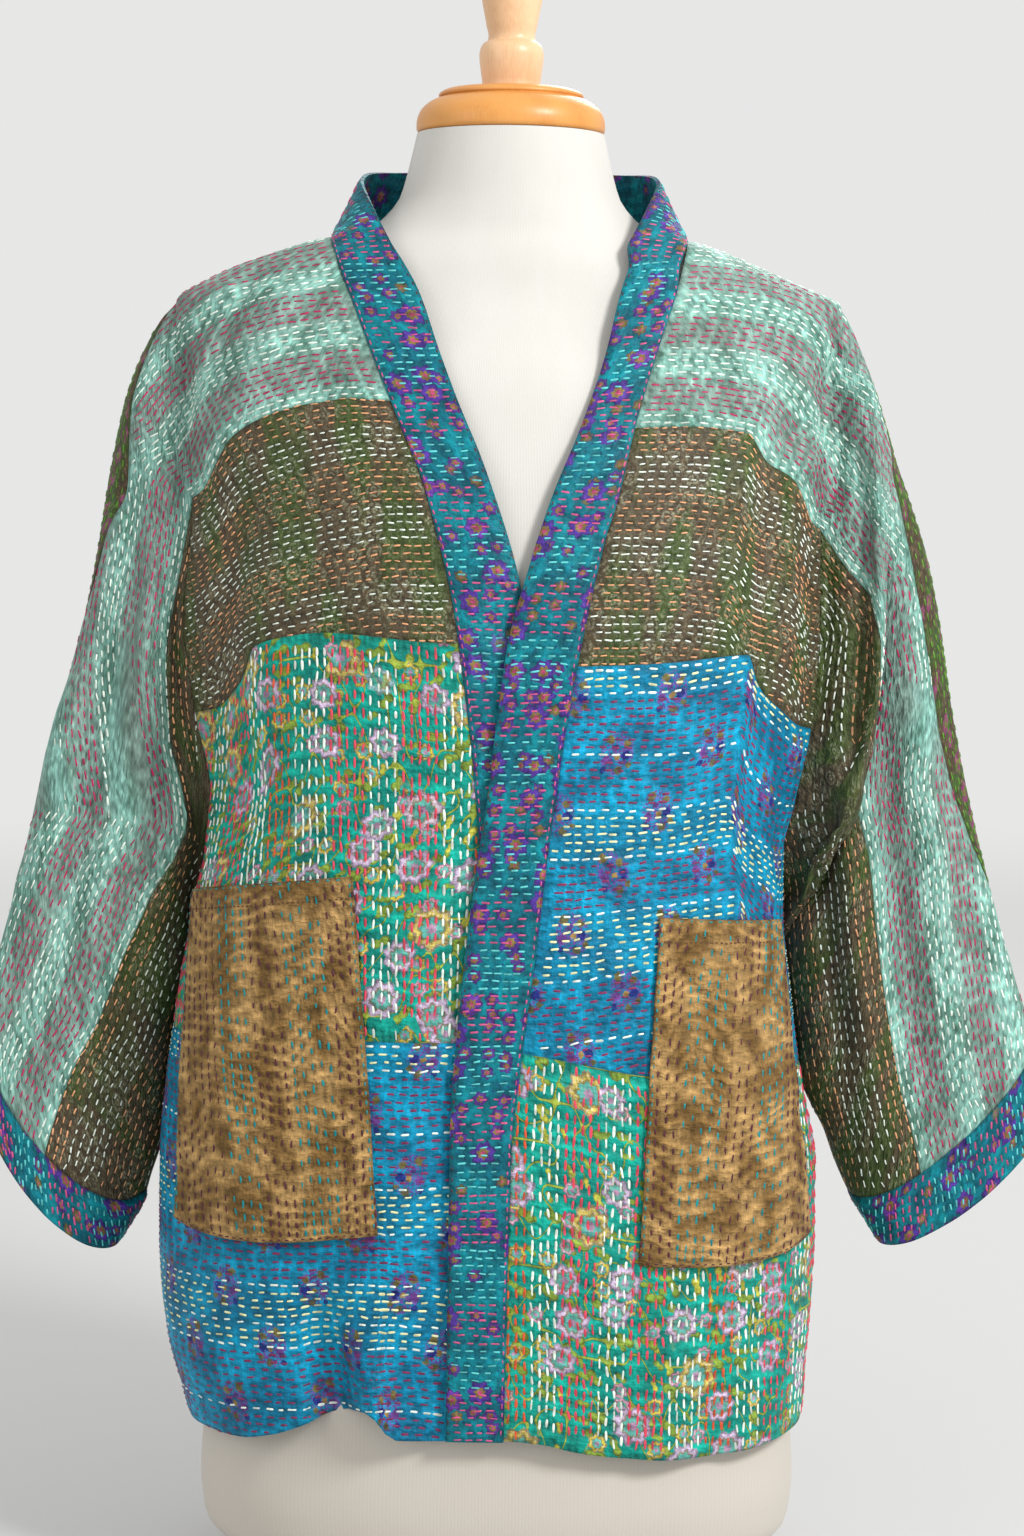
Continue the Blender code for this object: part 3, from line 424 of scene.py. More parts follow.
def lap_depth(side, face, points):
    """The left front passes under the right one, so it is set in near the middle."""
    if side != LEFT or face != FRONT:
        return np.zeros(points.shape[:-1])
    edge = look_up(BAND_FREE[RIGHT], "x", points[..., 2])
    return -LAP_SINK * ease(edge - LAP_RAMP, edge - LAP_FULL, points[..., 0])


def body_cloth(side, face, u, z):
    """The middle of the cloth's thickness, with its large folds."""
    base = body_base(side, face, u, z)
    shift = fold_depth(side, face, base) + lap_depth(side, face, base)
    along = body_base(side, face, u + 0.004, z) - body_base(side, face, u - 0.004, z)
    across = body_base(side, face, u, z + 1.0) - body_base(side, face, u, z - 1.0)
    outward = -side * face * unit(np.cross(along, across))
    return base + outward * shift[..., None]


def top_height(side, x):
    """Height of the shoulder line at distance x out, where the body cloth is just that wide."""
    heights = np.linspace(TIP, BODY["height"][-1], SHOULDER_STEPS)
    return np.interp(x, look_up(BODY, SIDE_NAMES[side], heights)[::-1], heights[::-1])


def round_share(t):
    return (1 - np.cos(np.pi * t)) / 2


def armhole_height(t):
    return TIP - (TIP - UNDERARM) * round_share(t)


def sleeve_oval(side, s, t):
    """A sleeve's section: t runs 0 outer, 1 inner by the front, and on to 2 by the back."""
    s, t = np.broadcast_arrays(np.asarray(s, float), np.asarray(t, float))
    at = {name: look_up(SLEEVES[side], name, s) for name in SLEEVES[side]}
    outer, inner = (np.stack([at[f"{end}_{axis}"] for axis in "xyz"], -1) for end in ("outer", "inner"))
    chord = inner - outer
    front = np.mod(t, 2) < 1
    wave = np.abs(np.sin(np.pi * t))
    sag = np.where(front, at["front_sag"], at["back_sag"]) * wave
    down = unit(np.stack([-chord[..., 2], np.zeros_like(s), chord[..., 0]], -1))
    point = outer + chord * round_share(t)[..., None] + down * sag[..., None]
    point[..., 1] += np.where(front, -at["front"], at["back"]) * wave**SLEEVE_FULL
    point[..., 0] += np.where(front, at["push"], 0) * wave**2
    return point * np.array([side, 1, 1])


def armhole_line(side, t):
    """The edge of the body cloth that the sleeve starts from."""
    z = armhole_height(t)
    front, back = (body_cloth(side, face, np.ones_like(z), z) for face in (FRONT, BACK))
    return np.where((np.mod(t, 2) < 1)[..., None], front, back)


def sleeve_cloth(side, s, t):
    """The middle of the sleeve cloth's thickness."""
    s, t = np.broadcast_arrays(np.asarray(s, float), np.asarray(t, float))
    start = armhole_line(side, t) - sleeve_oval(side, np.zeros_like(s), t)
    points = sleeve_oval(side, s, t) + start * (1 - ease(0, SLEEVE_BLEND, s))[..., None]
    low, high, shift = SLEEVE_REST[side]
    z = points[..., 2]
    inside = np.exp(-(((np.mod(t, 2) - 1) / REST_SPREAD) ** 2))
    leans = inside * ease(low, low + REST_RISE, z) * (1 - ease(high - REST_FALL, high, z))
    points[..., 0] -= side * shift * leans
    return points


def sleeve_seam(side, name, s):
    return look_up(SLEEVE_SEAMS[side], name, s)


def band_column(side, z):
    """The u of the neckband's seam edge at height z."""
    return column_at(side, look_up(BAND_SEAM[side], "x", z), z)


def lapped(points, *edges):
    """Carries the named edges of a grid of points on past a crease, so that no gap shows."""
    points = points.copy()
    columns = np.swapaxes(points, 0, 1)
    rows = {"top": points, "first": columns, "last": columns[::-1]}
    for edge in edges:
        rows[edge][0] -= unit(rows[edge][1] - rows[edge][0]) * CREASE_LAP
    return points


def shoulder_line(side):
    """Height of the shoulder line by column."""
    def height(u):
        return top_height(side, side * body_base(side, FRONT, u, np.full(np.shape(u), TIP + 1))[..., 0])
    return height


def seam_line(side, rows):
    """Height by column of a seam that is given as height by distance out."""
    def height(u):
        z = np.full(np.shape(u), rows["height"].mean())
        for _ in range(SEAM_ROUNDS):
            z = 0.5 * z + 0.5 * look_up(rows, "height", side * body_base(side, FRONT, u, z)[..., 0])
        return z
    return height


def mint_line(side):
    """The mint seam on the body, which meets the sleeve's at the armhole."""
    foot = seam_line(side, MINT_SEAM[side])
    step = armhole_height(sleeve_seam(side, "mint", 0.0)) - foot(np.array(1.0))
    return lambda u: foot(u) + step * ease(0.8, 1, u)


def collar_rows(side, first, last, steps):
    """Seam and free edges of the standing part of the band, between rows of its table."""
    index = np.arange(len(COLLAR["seam_x"]), dtype=float)
    at = np.linspace(first, last, steps)
    values = np.stack([smooth(index, COLLAR[name], at) for name in COLLAR], -1) * ([side, 1, 1] * 2)
    return values[:, :3], values[:, 3:]


# Finer cloth: distance between grid points, the shell's wall, and how the shell dips at a seam
CLOTH_STEP = 2.9
FINE_STEP = 2.3
SHELL = 1.8
SEAM_DIP, SEAM_DIP_REACH = 0.55, 1.7
TOWARDS_FRONT, TOWARDS_BACK = (0, -1, 0), (0, 1, 0)

# Creases and soft folds on each face: path of (x, height) points from end to end, how far they
# stand out, width, and lean, which raises one side of the path and sinks the other
CREASES = {
    FRONT: (
        (((-150, 772), (-172, 752), (-190, 735), (-190, 684), (-186, 645), (-187, 605)), -4.0, 8),
        (((-187, 625), (-190, 584), (-187, 546), (-182, 519), (-177, 495), (-172, 465)), -5.0, 8, 0.6),
        (((-158, 778), (-182, 752), (-204, 722)), 3.8, 6),
        (((-141, 788), (-152, 768), (-163, 742), (-170, 715)), -4.0, 6, 0.5),
        (((-112, 782), (-130, 745), (-150, 706), (-172, 664)), 3.8, 9, 0.3),
        (((-118, 690), (-140, 655), (-158, 600), (-164, 556)), -2.2, 9),
        (((-163, 551), (-170, 515), (-175, 473)), -3.0, 7, 0.5),
        (((-60, 640), (-72, 590), (-70, 540)), 1.5, 16),
        (((-112, 199), (-104, 150), (-94, 94)), -3.5, 10),
        (((-76, 205), (-79, 150), (-80, 95)), 2.5, 9),
        (((-215, 700), (-222, 640), (-232, 570), (-244, 500), (-256, 430), (-268, 350)), -5.2, 12),
        (((-205, 640), (-212, 560), (-224, 480), (-240, 400), (-256, 310)), 4.4, 11),
        (((-196, 560), (-204, 480), (-218, 400), (-230, 320), (-240, 250)), -5.2, 9),
        (((-250, 560), (-262, 480), (-276, 400), (-284, 350)), 3.8, 10),
        (((206, 700), (212, 650), (212, 600), (211, 547), (206, 499), (199, 467)), -5.5, 6, 0.8),
        (((199, 480), (192, 443), (182, 420), (174, 402)), -5.0, 8),
        (((184, 625), (184, 580), (182, 531), (178, 505)), -5.0, 7),
        (((193, 756), (195, 744), (198, 730)), -3.2, 4, 0.6),
        (((186, 735), (190, 712), (193, 682), (190, 640)), -4.2, 10),
        (((174, 745), (177, 700), (174, 655)), 3.4, 8),
        (((116, 776), (128, 738), (144, 700), (164, 665)), 3.0, 10, 0.3),
        (((222, 660), (236, 590), (246, 520), (256, 450), (268, 380)), 4.6, 12),
        (((218, 560), (226, 480), (236, 400), (250, 320), (262, 270)), -5.8, 11),
        (((240, 620), (256, 540), (270, 460), (286, 380), (300, 310)), -4.2, 11),
        (((196, 520), (203, 450), (212, 380), (222, 310), (232, 250)), 4.6, 9),
        (((186, 500), (190, 440), (198, 370), (208, 300)), -5.4, 9),
        (((100, 386), (112, 368), (126, 350)), -2.6, 6, 0.5),
        (((150, 560), (158, 520), (165, 470), (168, 420)), -2.6, 9, 0.4),
        (((70, 640), (92, 600), (120, 570)), 1.5, 18),
        (((150, 330), (158, 270), (160, 200)), 2.0, 12),
        (((-150, 340), (-158, 280), (-160, 215)), 2.0, 12),
    ),
    BACK: (
        (((-150, 772), (-176, 745), (-190, 700), (-189, 640), (-187, 560), (-178, 480)), -4.5, 9),
        (((150, 772), (176, 745), (190, 700), (189, 640), (187, 560), (178, 480)), -4.5, 9),
        (((-118, 730), (-132, 640), (-140, 540), (-138, 440)), 3.2, 14),
        (((112, 735), (128, 650), (136, 550), (132, 430)), 3.0, 14),
        (((-84, 700), (-98, 600), (-104, 500), (-98, 380)), -2.8, 13),
        (((86, 690), (94, 600), (102, 490), (92, 390)), -2.6, 13),
        (((-30, 640), (-22, 520), (-34, 400), (-28, 250)), 1.8, 20),
        (((40, 600), (34, 480), (44, 330), (36, 200)), -1.8, 18),
        (((-215, 700), (-226, 610), (-242, 500), (-262, 380)), -3.6, 12),
        (((-200, 620), (-210, 520), (-226, 410), (-246, 300)), 3.2, 12),
        (((217, 700), (232, 610), (250, 500), (274, 380)), -3.6, 12),
        (((201, 620), (214, 520), (232, 410), (254, 300)), 3.2, 12),
        (((-140, 380), (-150, 280), (-152, 150)), -2.8, 12),
        (((140, 380), (150, 280), (152, 150)), -2.8, 12),
    ),
}
CREASE_FADE = 0.22
SOFT_HEIGHT, SOFT_ACROSS, SOFT_DOWN = 1.9, 34.0, 80.0
FINE_HEIGHT, FINE_ACROSS, FINE_DOWN = 0.95, 13.0, 19.0
SHOULDER_CALM, SHOULDER_QUIET = (735.0, 790.0), 0.7
MIDDLE_CALM = (10.0, 60.0)
ARMHOLE_CALM, ARMHOLE_OPEN = (1.0, 9.0), (668.0, 705.0)
SHOULDER_EDGE = (0.0, 16.0)

# How far the print of each piece is shifted across and down, so that no two look alike
SHIFTS = {
    "front_left_mint": (40.0, 18.0),
    "front_left_olive": (5.0, 60.0),
    "sleeve_left_olive": (130.0, 31.0),
    "front_left_floral": (77.0, 11.0),
    "front_left_blue": (14.0, 9.0),
    "neckband_left": (230.0, 47.0),
    "neckband_back": (90.0, 560.0),
    "cuff_left": (410.0, 75.0),
    "cuff_right": (520.0, 12.0),
    "pocket_left": (60.0, 90.0),
    "sleeve_left_back": (310.0, 140.0),
    "back_lower": (440.0, 200.0),
}


def lattice_noise(x, y, seed):
    """Smooth noise from -1 to 1, with a free value at each whole-number point."""
    column, row = np.floor(x), np.floor(y)
    across, down = x - column, y - row
    across, down = across * across * (3 - 2 * across), down * down * (3 - 2 * down)

    def corner(i, j):
        value = np.sin(i * 127.1 + j * 311.7 + seed * 74.7) * 43758.5453
        return 2 * (value - np.floor(value)) - 1

    top = corner(column, row) * (1 - across) + corner(column + 1, row) * across
    foot = corner(column, row + 1) * (1 - across) + corner(column + 1, row + 1) * across
    return top * (1 - down) + foot * down


def crease_shift(x, z, path, out, width, lean=0.0):
    """One fold's height over the cloth, fading towards the ends of its path."""
    path = np.array(path, float)
    runs = np.diff(path, axis=0)
    lengths = np.linalg.norm(runs, axis=1)
    starts = np.concatenate([[0], np.cumsum(lengths)[:-1]])
    nearest, signed, share = np.full(x.shape, np.inf), np.zeros(x.shape), np.zeros(x.shape)
    for start, run, length, before in zip(path[:-1], runs, lengths, starts):
        along = np.clip(((x - start[0]) * run[0] + (z - start[1]) * run[1]) / length**2, 0, 1)
        dx, dz = x - start[0] - along * run[0], z - start[1] - along * run[1]
        distance = np.hypot(dx, dz)
        closer = distance < nearest
        nearest = np.where(closer, distance, nearest)
        signed = np.where(closer, np.sign(dx * run[1] - dz * run[0]) * distance, signed)
        share = np.where(closer, (before + along * length) / lengths.sum(), share)
    fade = ease(0, CREASE_FADE, share) * ease(1, 1 - CREASE_FADE, share)
    across = signed / width
    return out * fade * np.exp(-(across**2)) * (1 + lean * np.tanh(2 * across))


def armhole_calm(x, z):
    """0 at the armhole, where the sleeve meets the body, and 1 from a little way off."""
    heights = np.linspace(UNDERARM, TIP, 60)
    near = np.ones(x.shape)
    for side in (LEFT, RIGHT):
        line = body_cloth(side, FRONT, np.ones(60), heights)[:, 0]
        near = np.minimum(near, ease(*ARMHOLE_CALM, np.abs(x - np.interp(z, heights, line))))
    return np.where((z > UNDERARM) & (z < TIP), near, 1.0)


def relief(points, normals, face):
    """How far the creases and the drape move the smooth cloth outwards."""
    x, z = points[..., 0], points[..., 2]
    top = np.where(x < 0, top_height(LEFT, np.abs(x)), top_height(RIGHT, np.abs(x)))
    total = np.zeros(x.shape)
    for one, creases in CREASES.items():
        shift = SOFT_HEIGHT * lattice_noise(x / SOFT_ACROSS, z / SOFT_DOWN, one)
        shift += FINE_HEIGHT * lattice_noise(x / FINE_ACROSS, z / FINE_DOWN, one + 5)
        shift *= (1 - SHOULDER_QUIET * ease(*SHOULDER_CALM, z)) * ease(*MIDDLE_CALM, np.abs(x))
        for crease in creases:
            shift += crease_shift(x, z, *crease)
        shift *= np.maximum(armhole_calm(x, z), ease(*ARMHOLE_OPEN, z) if one == FRONT else 0)
        shift *= ease(*SHOULDER_EDGE, top - z)
        total += np.where(np.broadcast_to(face, x.shape) == one, shift, 0)
    return total * ease(0, 0.3, np.abs(normals[..., 1]))


def grid_normals(points, outward, closed=False):
    """Normals of a grid of points, on the side that faces outward."""
    if closed:
        padded = np.concatenate([points[-1:], points, points[:1]])
        along = (padded[2:] - padded[:-2]) / 2
    else:
        along = np.gradient(points, axis=0)
    normals = unit(np.cross(along, np.gradient(points, axis=1)))
    return normals * (1.0 if np.sum(normals * outward) > 0 else -1.0)


def running_length(points, axis):
    """Distance along the grid's rows (axis 1) or down its columns (axis 0) from the first point."""
    steps = np.linalg.norm(np.diff(points, axis=axis), axis=-1)
    return np.concatenate([np.zeros_like(np.take(steps, [0], axis)), np.cumsum(steps, axis)], axis)


def distance_to(points, line, depth):
    """Distance of each point from a line of points; depth says how much front to back counts."""
    scale = np.array([1.0, depth, 1.0])
    points, line = points * scale, line * scale
    best = np.full(points.shape[:-1], np.inf)
    for start, end in zip(line[:-1], line[1:]):
        run = end - start
        share = np.clip((points - start) @ run / max(run @ run, 1e-9), 0, 1)
        best = np.minimum(best, np.linalg.norm(points - start - share[..., None] * run, axis=-1))
    return best


def laid_on(under, toward, face, out):
    """Points a distance out from a creased cloth that lies under them."""
    normals = grid_normals(under, np.broadcast_to(toward, under.shape))
    under = under + normals * relief(under, normals, face)[..., None]
    return under + normals * np.asarray(out)[..., None]


class Cloth:
    """A fine grid of one cloth piece, with flat distances across and down it, in millimetres."""

    def __init__(self, node, points, outward, face=None, wall=SHELL, closed=False):
        self.node, self.wall, self.closed = node, wall, closed
        self.outward = np.broadcast_to(np.asarray(outward, float), points.shape)
        self.normals = grid_normals(points, self.outward, closed)
        if face is not None:
            points = points + self.normals * relief(points, self.normals, face)[..., None]
            self.normals = grid_normals(points, self.outward, closed)
        self.points = points
        self.across, self.down = running_length(points, 1), running_length(points, 0)
        sides = [self.across, self.across[:, -1:] - self.across]
        if not closed:
            sides += [self.down, self.down[-1:] - self.down]
        self.edge = np.minimum.reduce(sides)

    def set_rows(self, kind, spacing, pitch, wave=0.0, base=0.0, depth=1.0, level=None, sway=0.0):
        """Rows of stitches run across the piece ("level") or down it ("upright"), or by a level given."""
        self.kind, self.spacing, self.pitch, self.even = kind, spacing, pitch, level is not None
        seen = self.points * np.array([1.0, depth, 1.0])
        across, down = running_length(seen, 1), running_length(seen, 0)
        measured, along = (down, across) if kind == "level" else (across, down)
        level = (measured if level is None else level) + base
        self.row = (level + wave * lattice_noise(across / 70, down / 70, 3)) / spacing
        drift = 0.6 * lattice_noise(across / 30, down / 30, 11)
        drift += 0.25 * lattice_noise(across / 9, down / 9, 12)
        drift += sway * lattice_noise(across / 24, down / 46, 15)
        self.phase = along / pitch + drift
        return self

    def ripple(self, height):
        """Puckers the cloth: low under each stitch, high between two."""
        uneven = 0.75 + 0.5 * lattice_noise(self.across / 22, self.down / 22, 19)
        wave = -np.cos(TURN * self.phase) * uneven
        self.points = self.points + self.normals * (height * ease(1.5, 6, self.edge) * wave)[..., None]
        self.normals = grid_normals(self.points, self.outward, self.closed)
        return self

    def skin(self):
        """Points of the outside, which dips where the piece is sewn to the next."""
        dip = SEAM_DIP * np.exp(-((self.edge / SEAM_DIP_REACH) ** 2))
        return self.points + self.normals * (self.wall / 2 - dip)[..., None]


def store_vector(mesh, name, values):
    layer = mesh.attributes.new(name, "FLOAT_VECTOR", "CORNER")
    layer.data.foreach_set("vector", values.astype(np.float32).ravel())


def mesh_from(name, points, quads):
    """A mesh of quads from points in millimetres."""
    mesh = bpy.data.meshes.new(name)
    mesh.vertices.add(len(points))
    mesh.vertices.foreach_set("co", (points * MM).astype(np.float32).ravel())
    mesh.loops.add(quads.size)
    mesh.loops.foreach_set("vertex_index", quads.astype(np.int32).ravel())
    mesh.polygons.add(len(quads))
    mesh.polygons.foreach_set("loop_start", np.arange(0, quads.size, 4, dtype=np.int32))
    mesh.polygons.foreach_set("loop_total", np.full(len(quads), 4, dtype=np.int32))
    mesh.update(calc_edges=True)
    mesh.shade_smooth()
    return mesh


def add_piece(name, mesh, slot):
    """Puts a mesh in the scene as a piece that rides on the one body."""
    piece = bpy.data.objects.new(name, mesh)
    bpy.context.scene.collection.objects.link(piece)
    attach(piece, "root")
    return piece


def shell(cloth, material, slot):
    """The closed shell of a cloth piece, with its flat distances stored for the material."""
    outer = cloth.skin()
    inner = cloth.points - cloth.normals * (cloth.wall / 2)
    rows, columns = outer.shape[:2]
    count = rows * columns
    ids = np.arange(count).reshape(rows, columns)
    shift_across, shift_down = SHIFTS.get(cloth.node, (0.0, 0.0))
    across = cloth.across - cloth.across[:, columns // 2, None] + shift_across
    fields = (across, cloth.down + shift_down, cloth.phase, cloth.edge, cloth.row, np.zeros_like(across))
    values = np.stack(fields, -1)
    if cloth.closed:
        gap = np.linalg.norm(cloth.points[0] - cloth.points[-1], axis=-1)
        ids = np.concatenate([ids, ids[:1]])
        last = values[:1].copy()
        last[0, :, 1] = values[-1, :, 1] + gap
        last[0, :, 4] = values[-1, :, 4] + gap / cloth.spacing
        values = np.concatenate([values, last])
    grid = np.arange(ids.size).reshape(ids.shape)
    ids, values = ids.ravel(), values.reshape(ids.size, -1)
    faces = np.stack([grid[:-1, :-1], grid[1:, :-1], grid[1:, 1:], grid[:-1, 1:]], -1).reshape(-1, 4)
    corners = [faces, faces[:, ::-1]]
    vertices = [ids[faces], ids[faces[:, ::-1]] + count]
    rims = [(grid[1:, 0], grid[:-1, 0]), (grid[:-1, -1], grid[1:, -1])]
    if not cloth.closed:
        rims += [(grid[0, :-1], grid[0, 1:]), (grid[-1, 1:], grid[-1, :-1])]
    for a, b in rims:
        corners.append(np.stack([a, b, b, a], 1))
        vertices.append(np.stack([ids[a], ids[b], ids[b] + count, ids[a] + count], 1))
    corners, vertices = np.concatenate(corners), np.concatenate(vertices)
    if np.dot(np.cross(outer[1, 0] - outer[0, 0], outer[0, 1] - outer[0, 0]), cloth.normals[0, 0]) < 0:
        corners, vertices = corners[:, ::-1], vertices[:, ::-1]
    name = f"cloth_{cloth.node}"
    mesh = mesh_from(name, np.concatenate([outer, inner]).reshape(-1, 3), vertices)
    at_corners = values[corners.ravel()]
    store_vector(mesh, "flat", at_corners[:, :3])
    store_vector(mesh, "sewn", at_corners[:, 3:])
    mesh.materials.append(material)
    mesh.set_sharp_from_angle(angle=math.radians(60))
    piece = add_piece(name, mesh, slot)
    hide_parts(cloth.node)
    return piece


def linear(colour):
    """A colour given as 0 to 255 in sRGB, as the linear values that shaders take."""
    shares = (value / 255 for value in colour)
    return tuple(c / 12.92 if c <= 0.04045 else ((c + 0.055) / 1.055) ** 2.4 for c in shares)


class Wire:
    """A number inside a material's node tree, which arithmetic can be done on."""

    def __init__(self, tree, socket):
        self.tree, self.socket = tree, socket

    def math(self, operation, *others):
        node = self.tree.nodes.new("ShaderNodeMath")
        node.operation = operation
        join(self.tree, node, enumerate((self, *others)))
        return Wire(self.tree, node.outputs[0])

    __add__ = partialmethod(math, "ADD")
    __sub__ = partialmethod(math, "SUBTRACT")
    __mul__ = partialmethod(math, "MULTIPLY")
    __truediv__ = partialmethod(math, "DIVIDE")

    def wave(self):
        """1 at whole numbers and 0 halfway between."""
        return (self * TURN).math("COSINE") * 0.5 + 0.5

    def repeat(self, length):
        """Distance from the middle of the stretch of this length, from -0.5 to 0.5."""
        return (self / length).math("FRACT") - 0.5

    def step(self, low, high):
        """0 below low and 1 above high, softly; the other way round where low is above high."""
        node = self.tree.nodes.new("ShaderNodeMapRange")
        node.interpolation_type = "SMOOTHSTEP"
        ends = (0.0, 1.0) if low <= high else (1.0, 0.0)
        names = ("Value", "From Min", "From Max", "To Min", "To Max")
        join(self.tree, node, zip(names, (self, min(low, high), max(low, high), *ends)))
        return Wire(self.tree, node.outputs["Result"])

    def near(self, value, far, close):
        """1 where the number is close to a value, fading to 0 where it is far from it."""
        return (self - value).math("ABSOLUTE").step(far, close)


def join(tree, node, inputs):
    """Links or sets a node's inputs, given as pairs of socket and wire or value."""
    for slot, value in inputs:
        if isinstance(value, Wire):
            tree.links.new(value.socket, node.inputs[slot])
        else:
            node.inputs[slot].default_value = value


def root(x, y):
    """Distance from the middle at x and y."""
    return (x * x + y * y).math("SQRT")


class Flow:
    """One material, built from short calls."""

    def __init__(self, name, roughness=0.6, sheen=0.0, specular=0.2, coat=0.0):
        self.material = bpy.data.materials.new(name)
        self.material.use_nodes = True
        self.tree = self.material.node_tree
        self.shader = self.tree.nodes["Principled BSDF"]
        join(self.tree, self.shader, (
            ("Roughness", roughness), ("Sheen Weight", sheen), ("Sheen Roughness", 0.45),
            ("Specular IOR Level", specular), ("Coat Weight", coat), ("Coat Roughness", 0.25),
        ))

    def node(self, kind, inputs=(), **settings):
        node = self.tree.nodes.new(kind)
        for name, value in settings.items():
            setattr(node, name, value)
        join(self.tree, node, inputs)
        return node

    def out(self, node, name):
        return Wire(self.tree, node.outputs[name])

    def parts(self, vector):
        node = self.node("ShaderNodeSeparateXYZ", [(0, vector)])
        return [self.out(node, name) for name in "XYZ"]

    def stored(self, name):
        return self.parts(self.out(self.node("ShaderNodeAttribute", attribute_name=name), "Vector"))

    def object_place(self):
        return self.parts(self.out(self.node("ShaderNodeTexCoord"), "Object"))

    def vector(self, *places):
        return self.out(self.node("ShaderNodeCombineXYZ", enumerate(places)), "Vector")

    def noise(self, x, y, z=0.0, detail=2.0, roughness=0.5):
        place = self.vector(x, y, z)
        inputs = (("Vector", place), ("Scale", 1.0), ("Detail", detail), ("Roughness", roughness))
        return self.out(self.node("ShaderNodeTexNoise", inputs), "Fac")

    def grain(self, width, length, seed=0.0, detail=2.0, roughness=0.5):
        """Noise over the cloth, with features of this width and length in millimetres."""
        return self.noise(self.across / width, self.down / length, seed, detail, roughness)

    def mix(self, share, a, b):
        """Colour a where share is 0 and b where it is 1."""
        a, b = (colour if isinstance(colour, Wire) else (*linear(colour), 1) for colour in (a, b))
        node = self.node("ShaderNodeMix", [(0, share), (6, a), (7, b)], data_type="RGBA")
        return self.out(node, 2)

    def layers(self, colour, *tones):
        """Lays tones over a colour one after another, each with the share that comes before it."""
        for share, tone in tones:
            colour = self.mix(share, colour, tone)
        return colour

    def darken(self, colour, share):
        """The colour times share, which is a number for each point."""
        grey = self.out(self.node("ShaderNodeCombineColor", [(0, share), (1, share), (2, share)]), "Color")
        inputs = [(0, 1.0), (6, colour), (7, grey)]
        return self.out(self.node("ShaderNodeMix", inputs, data_type="RGBA", blend_type="MULTIPLY"), 2)

    def blossoms(self, spacing, size, petals, shift, notch=0.12, rough=0.0):
        """Scattered flowers: distance from the nearest middle as a share of its size, and its number."""
        x, y = self.across + 91.0 * shift, self.down + 37.0 * shift
        inputs = [("Vector", self.vector(x, y)), ("Scale", 1 / spacing), ("Randomness", 0.85)]
        cell = self.node("ShaderNodeTexVoronoi", inputs, voronoi_dimensions="2D")
        middle_x, middle_y, _ = self.parts(self.out(cell, "Position"))
        number = self.out(self.node("ShaderNodeSeparateColor", [(0, self.out(cell, "Color"))]), "Red")
        dx, dy = x - middle_x, y - middle_y
        turn = dy.math("ARCTAN2", dx)
        edge = (turn * petals + number * 6.3).math("COSINE") * notch + (1 - notch)
        share = root(dx, dy) / (edge * (number * 0.5 + 0.75) * size)
        if rough:
            share = share + (self.noise(x / 1.3, y / 1.3, 2.0, 1.0) - 0.5) * rough
        return share, number

    def finish(self, colour, height=None, roughness=None):
        """Joins the colour and a height in millimetres to the shader."""
        inputs = {"Base Color": colour, "Roughness": roughness}
        if height is not None:
            bump = self.node("ShaderNodeBump", [("Height", height), ("Distance", MM), ("Strength", 1.0)])
            inputs["Normal"] = self.out(bump, 0)
        join(self.tree, self.shader, ((name, wire) for name, wire in inputs.items() if wire is not None))
        return self.material


def fabric(
    name, paint, dip=0.45, slub=0.10, crumple=1.0, lie=1.0, sheen=0.02, roughness=0.55, trough_shade=0.16
):
    """Stitched cloth: paint gives its colour, darkened by painted shade in its dips and folds, and stitches,
    slubs and crumples give its relief.
    """
    flow = Flow(name, sheen=sheen, roughness=roughness)
    flow.across, flow.down, phase = flow.stored("flat")
    edge, flow.row, _ = flow.stored("sewn")
    pressed = phase.wave() * flow.row.wave()
    slubs = flow.noise(flow.across / 9, flow.down * 1.1, 0.0, 3.0, 0.6)
    fine = flow.grain(2.6, 2.3, 0.0, 2.0, 0.55)
    folds = flow.grain(6.4 * lie, 6.4 / lie, 3.0)
    crinkle = flow.grain(1.5, 6.5, 9.0, 2.0, 0.6)
    # Painted shade: darker under each stitch, near the seams, in the low parts of the fold and crinkle noise
    # and in the pucker troughs; the slubs add the yarn's own tone.
    shade = (pressed * -0.18 + 1.0) * (edge.step(0.1, 1.9) * 0.3 + 0.7) * (slubs * 0.2 + 0.9)
    shade = shade * (folds.step(0.3, 0.7) * 0.58 + 0.58)
    shade = shade * (phase.wave() * (folds.step(0.36, 0.62) * 0.9 + 0.35) * -trough_shade + 1.0)
    shade = shade * (crinkle.step(0.3, 0.7) * 0.30 + 0.86)
    height = pressed * -dip + slubs * slub + fine * (crumple * 0.5) + folds * (crumple * 2.0)
    height = height + crinkle * (crumple * 0.3)
    return flow.finish(flow.darken(paint(flow), shade), height, slubs * 0.25 + (roughness - 0.12))


def paint_mint(flow):
    tone = flow.grain(30, 22, 0.0, 3.0, 0.6) * 0.6 + flow.grain(4, 4, 5.0) * 0.4
    colour = flow.mix(tone.step(0.38, 0.6), (88, 136, 120), (150, 204, 190))
    under_pink = ((flow.row - 5.7) / 9.8).wave()
    return flow.mix(under_pink * 0.56, colour, (128, 132, 126))


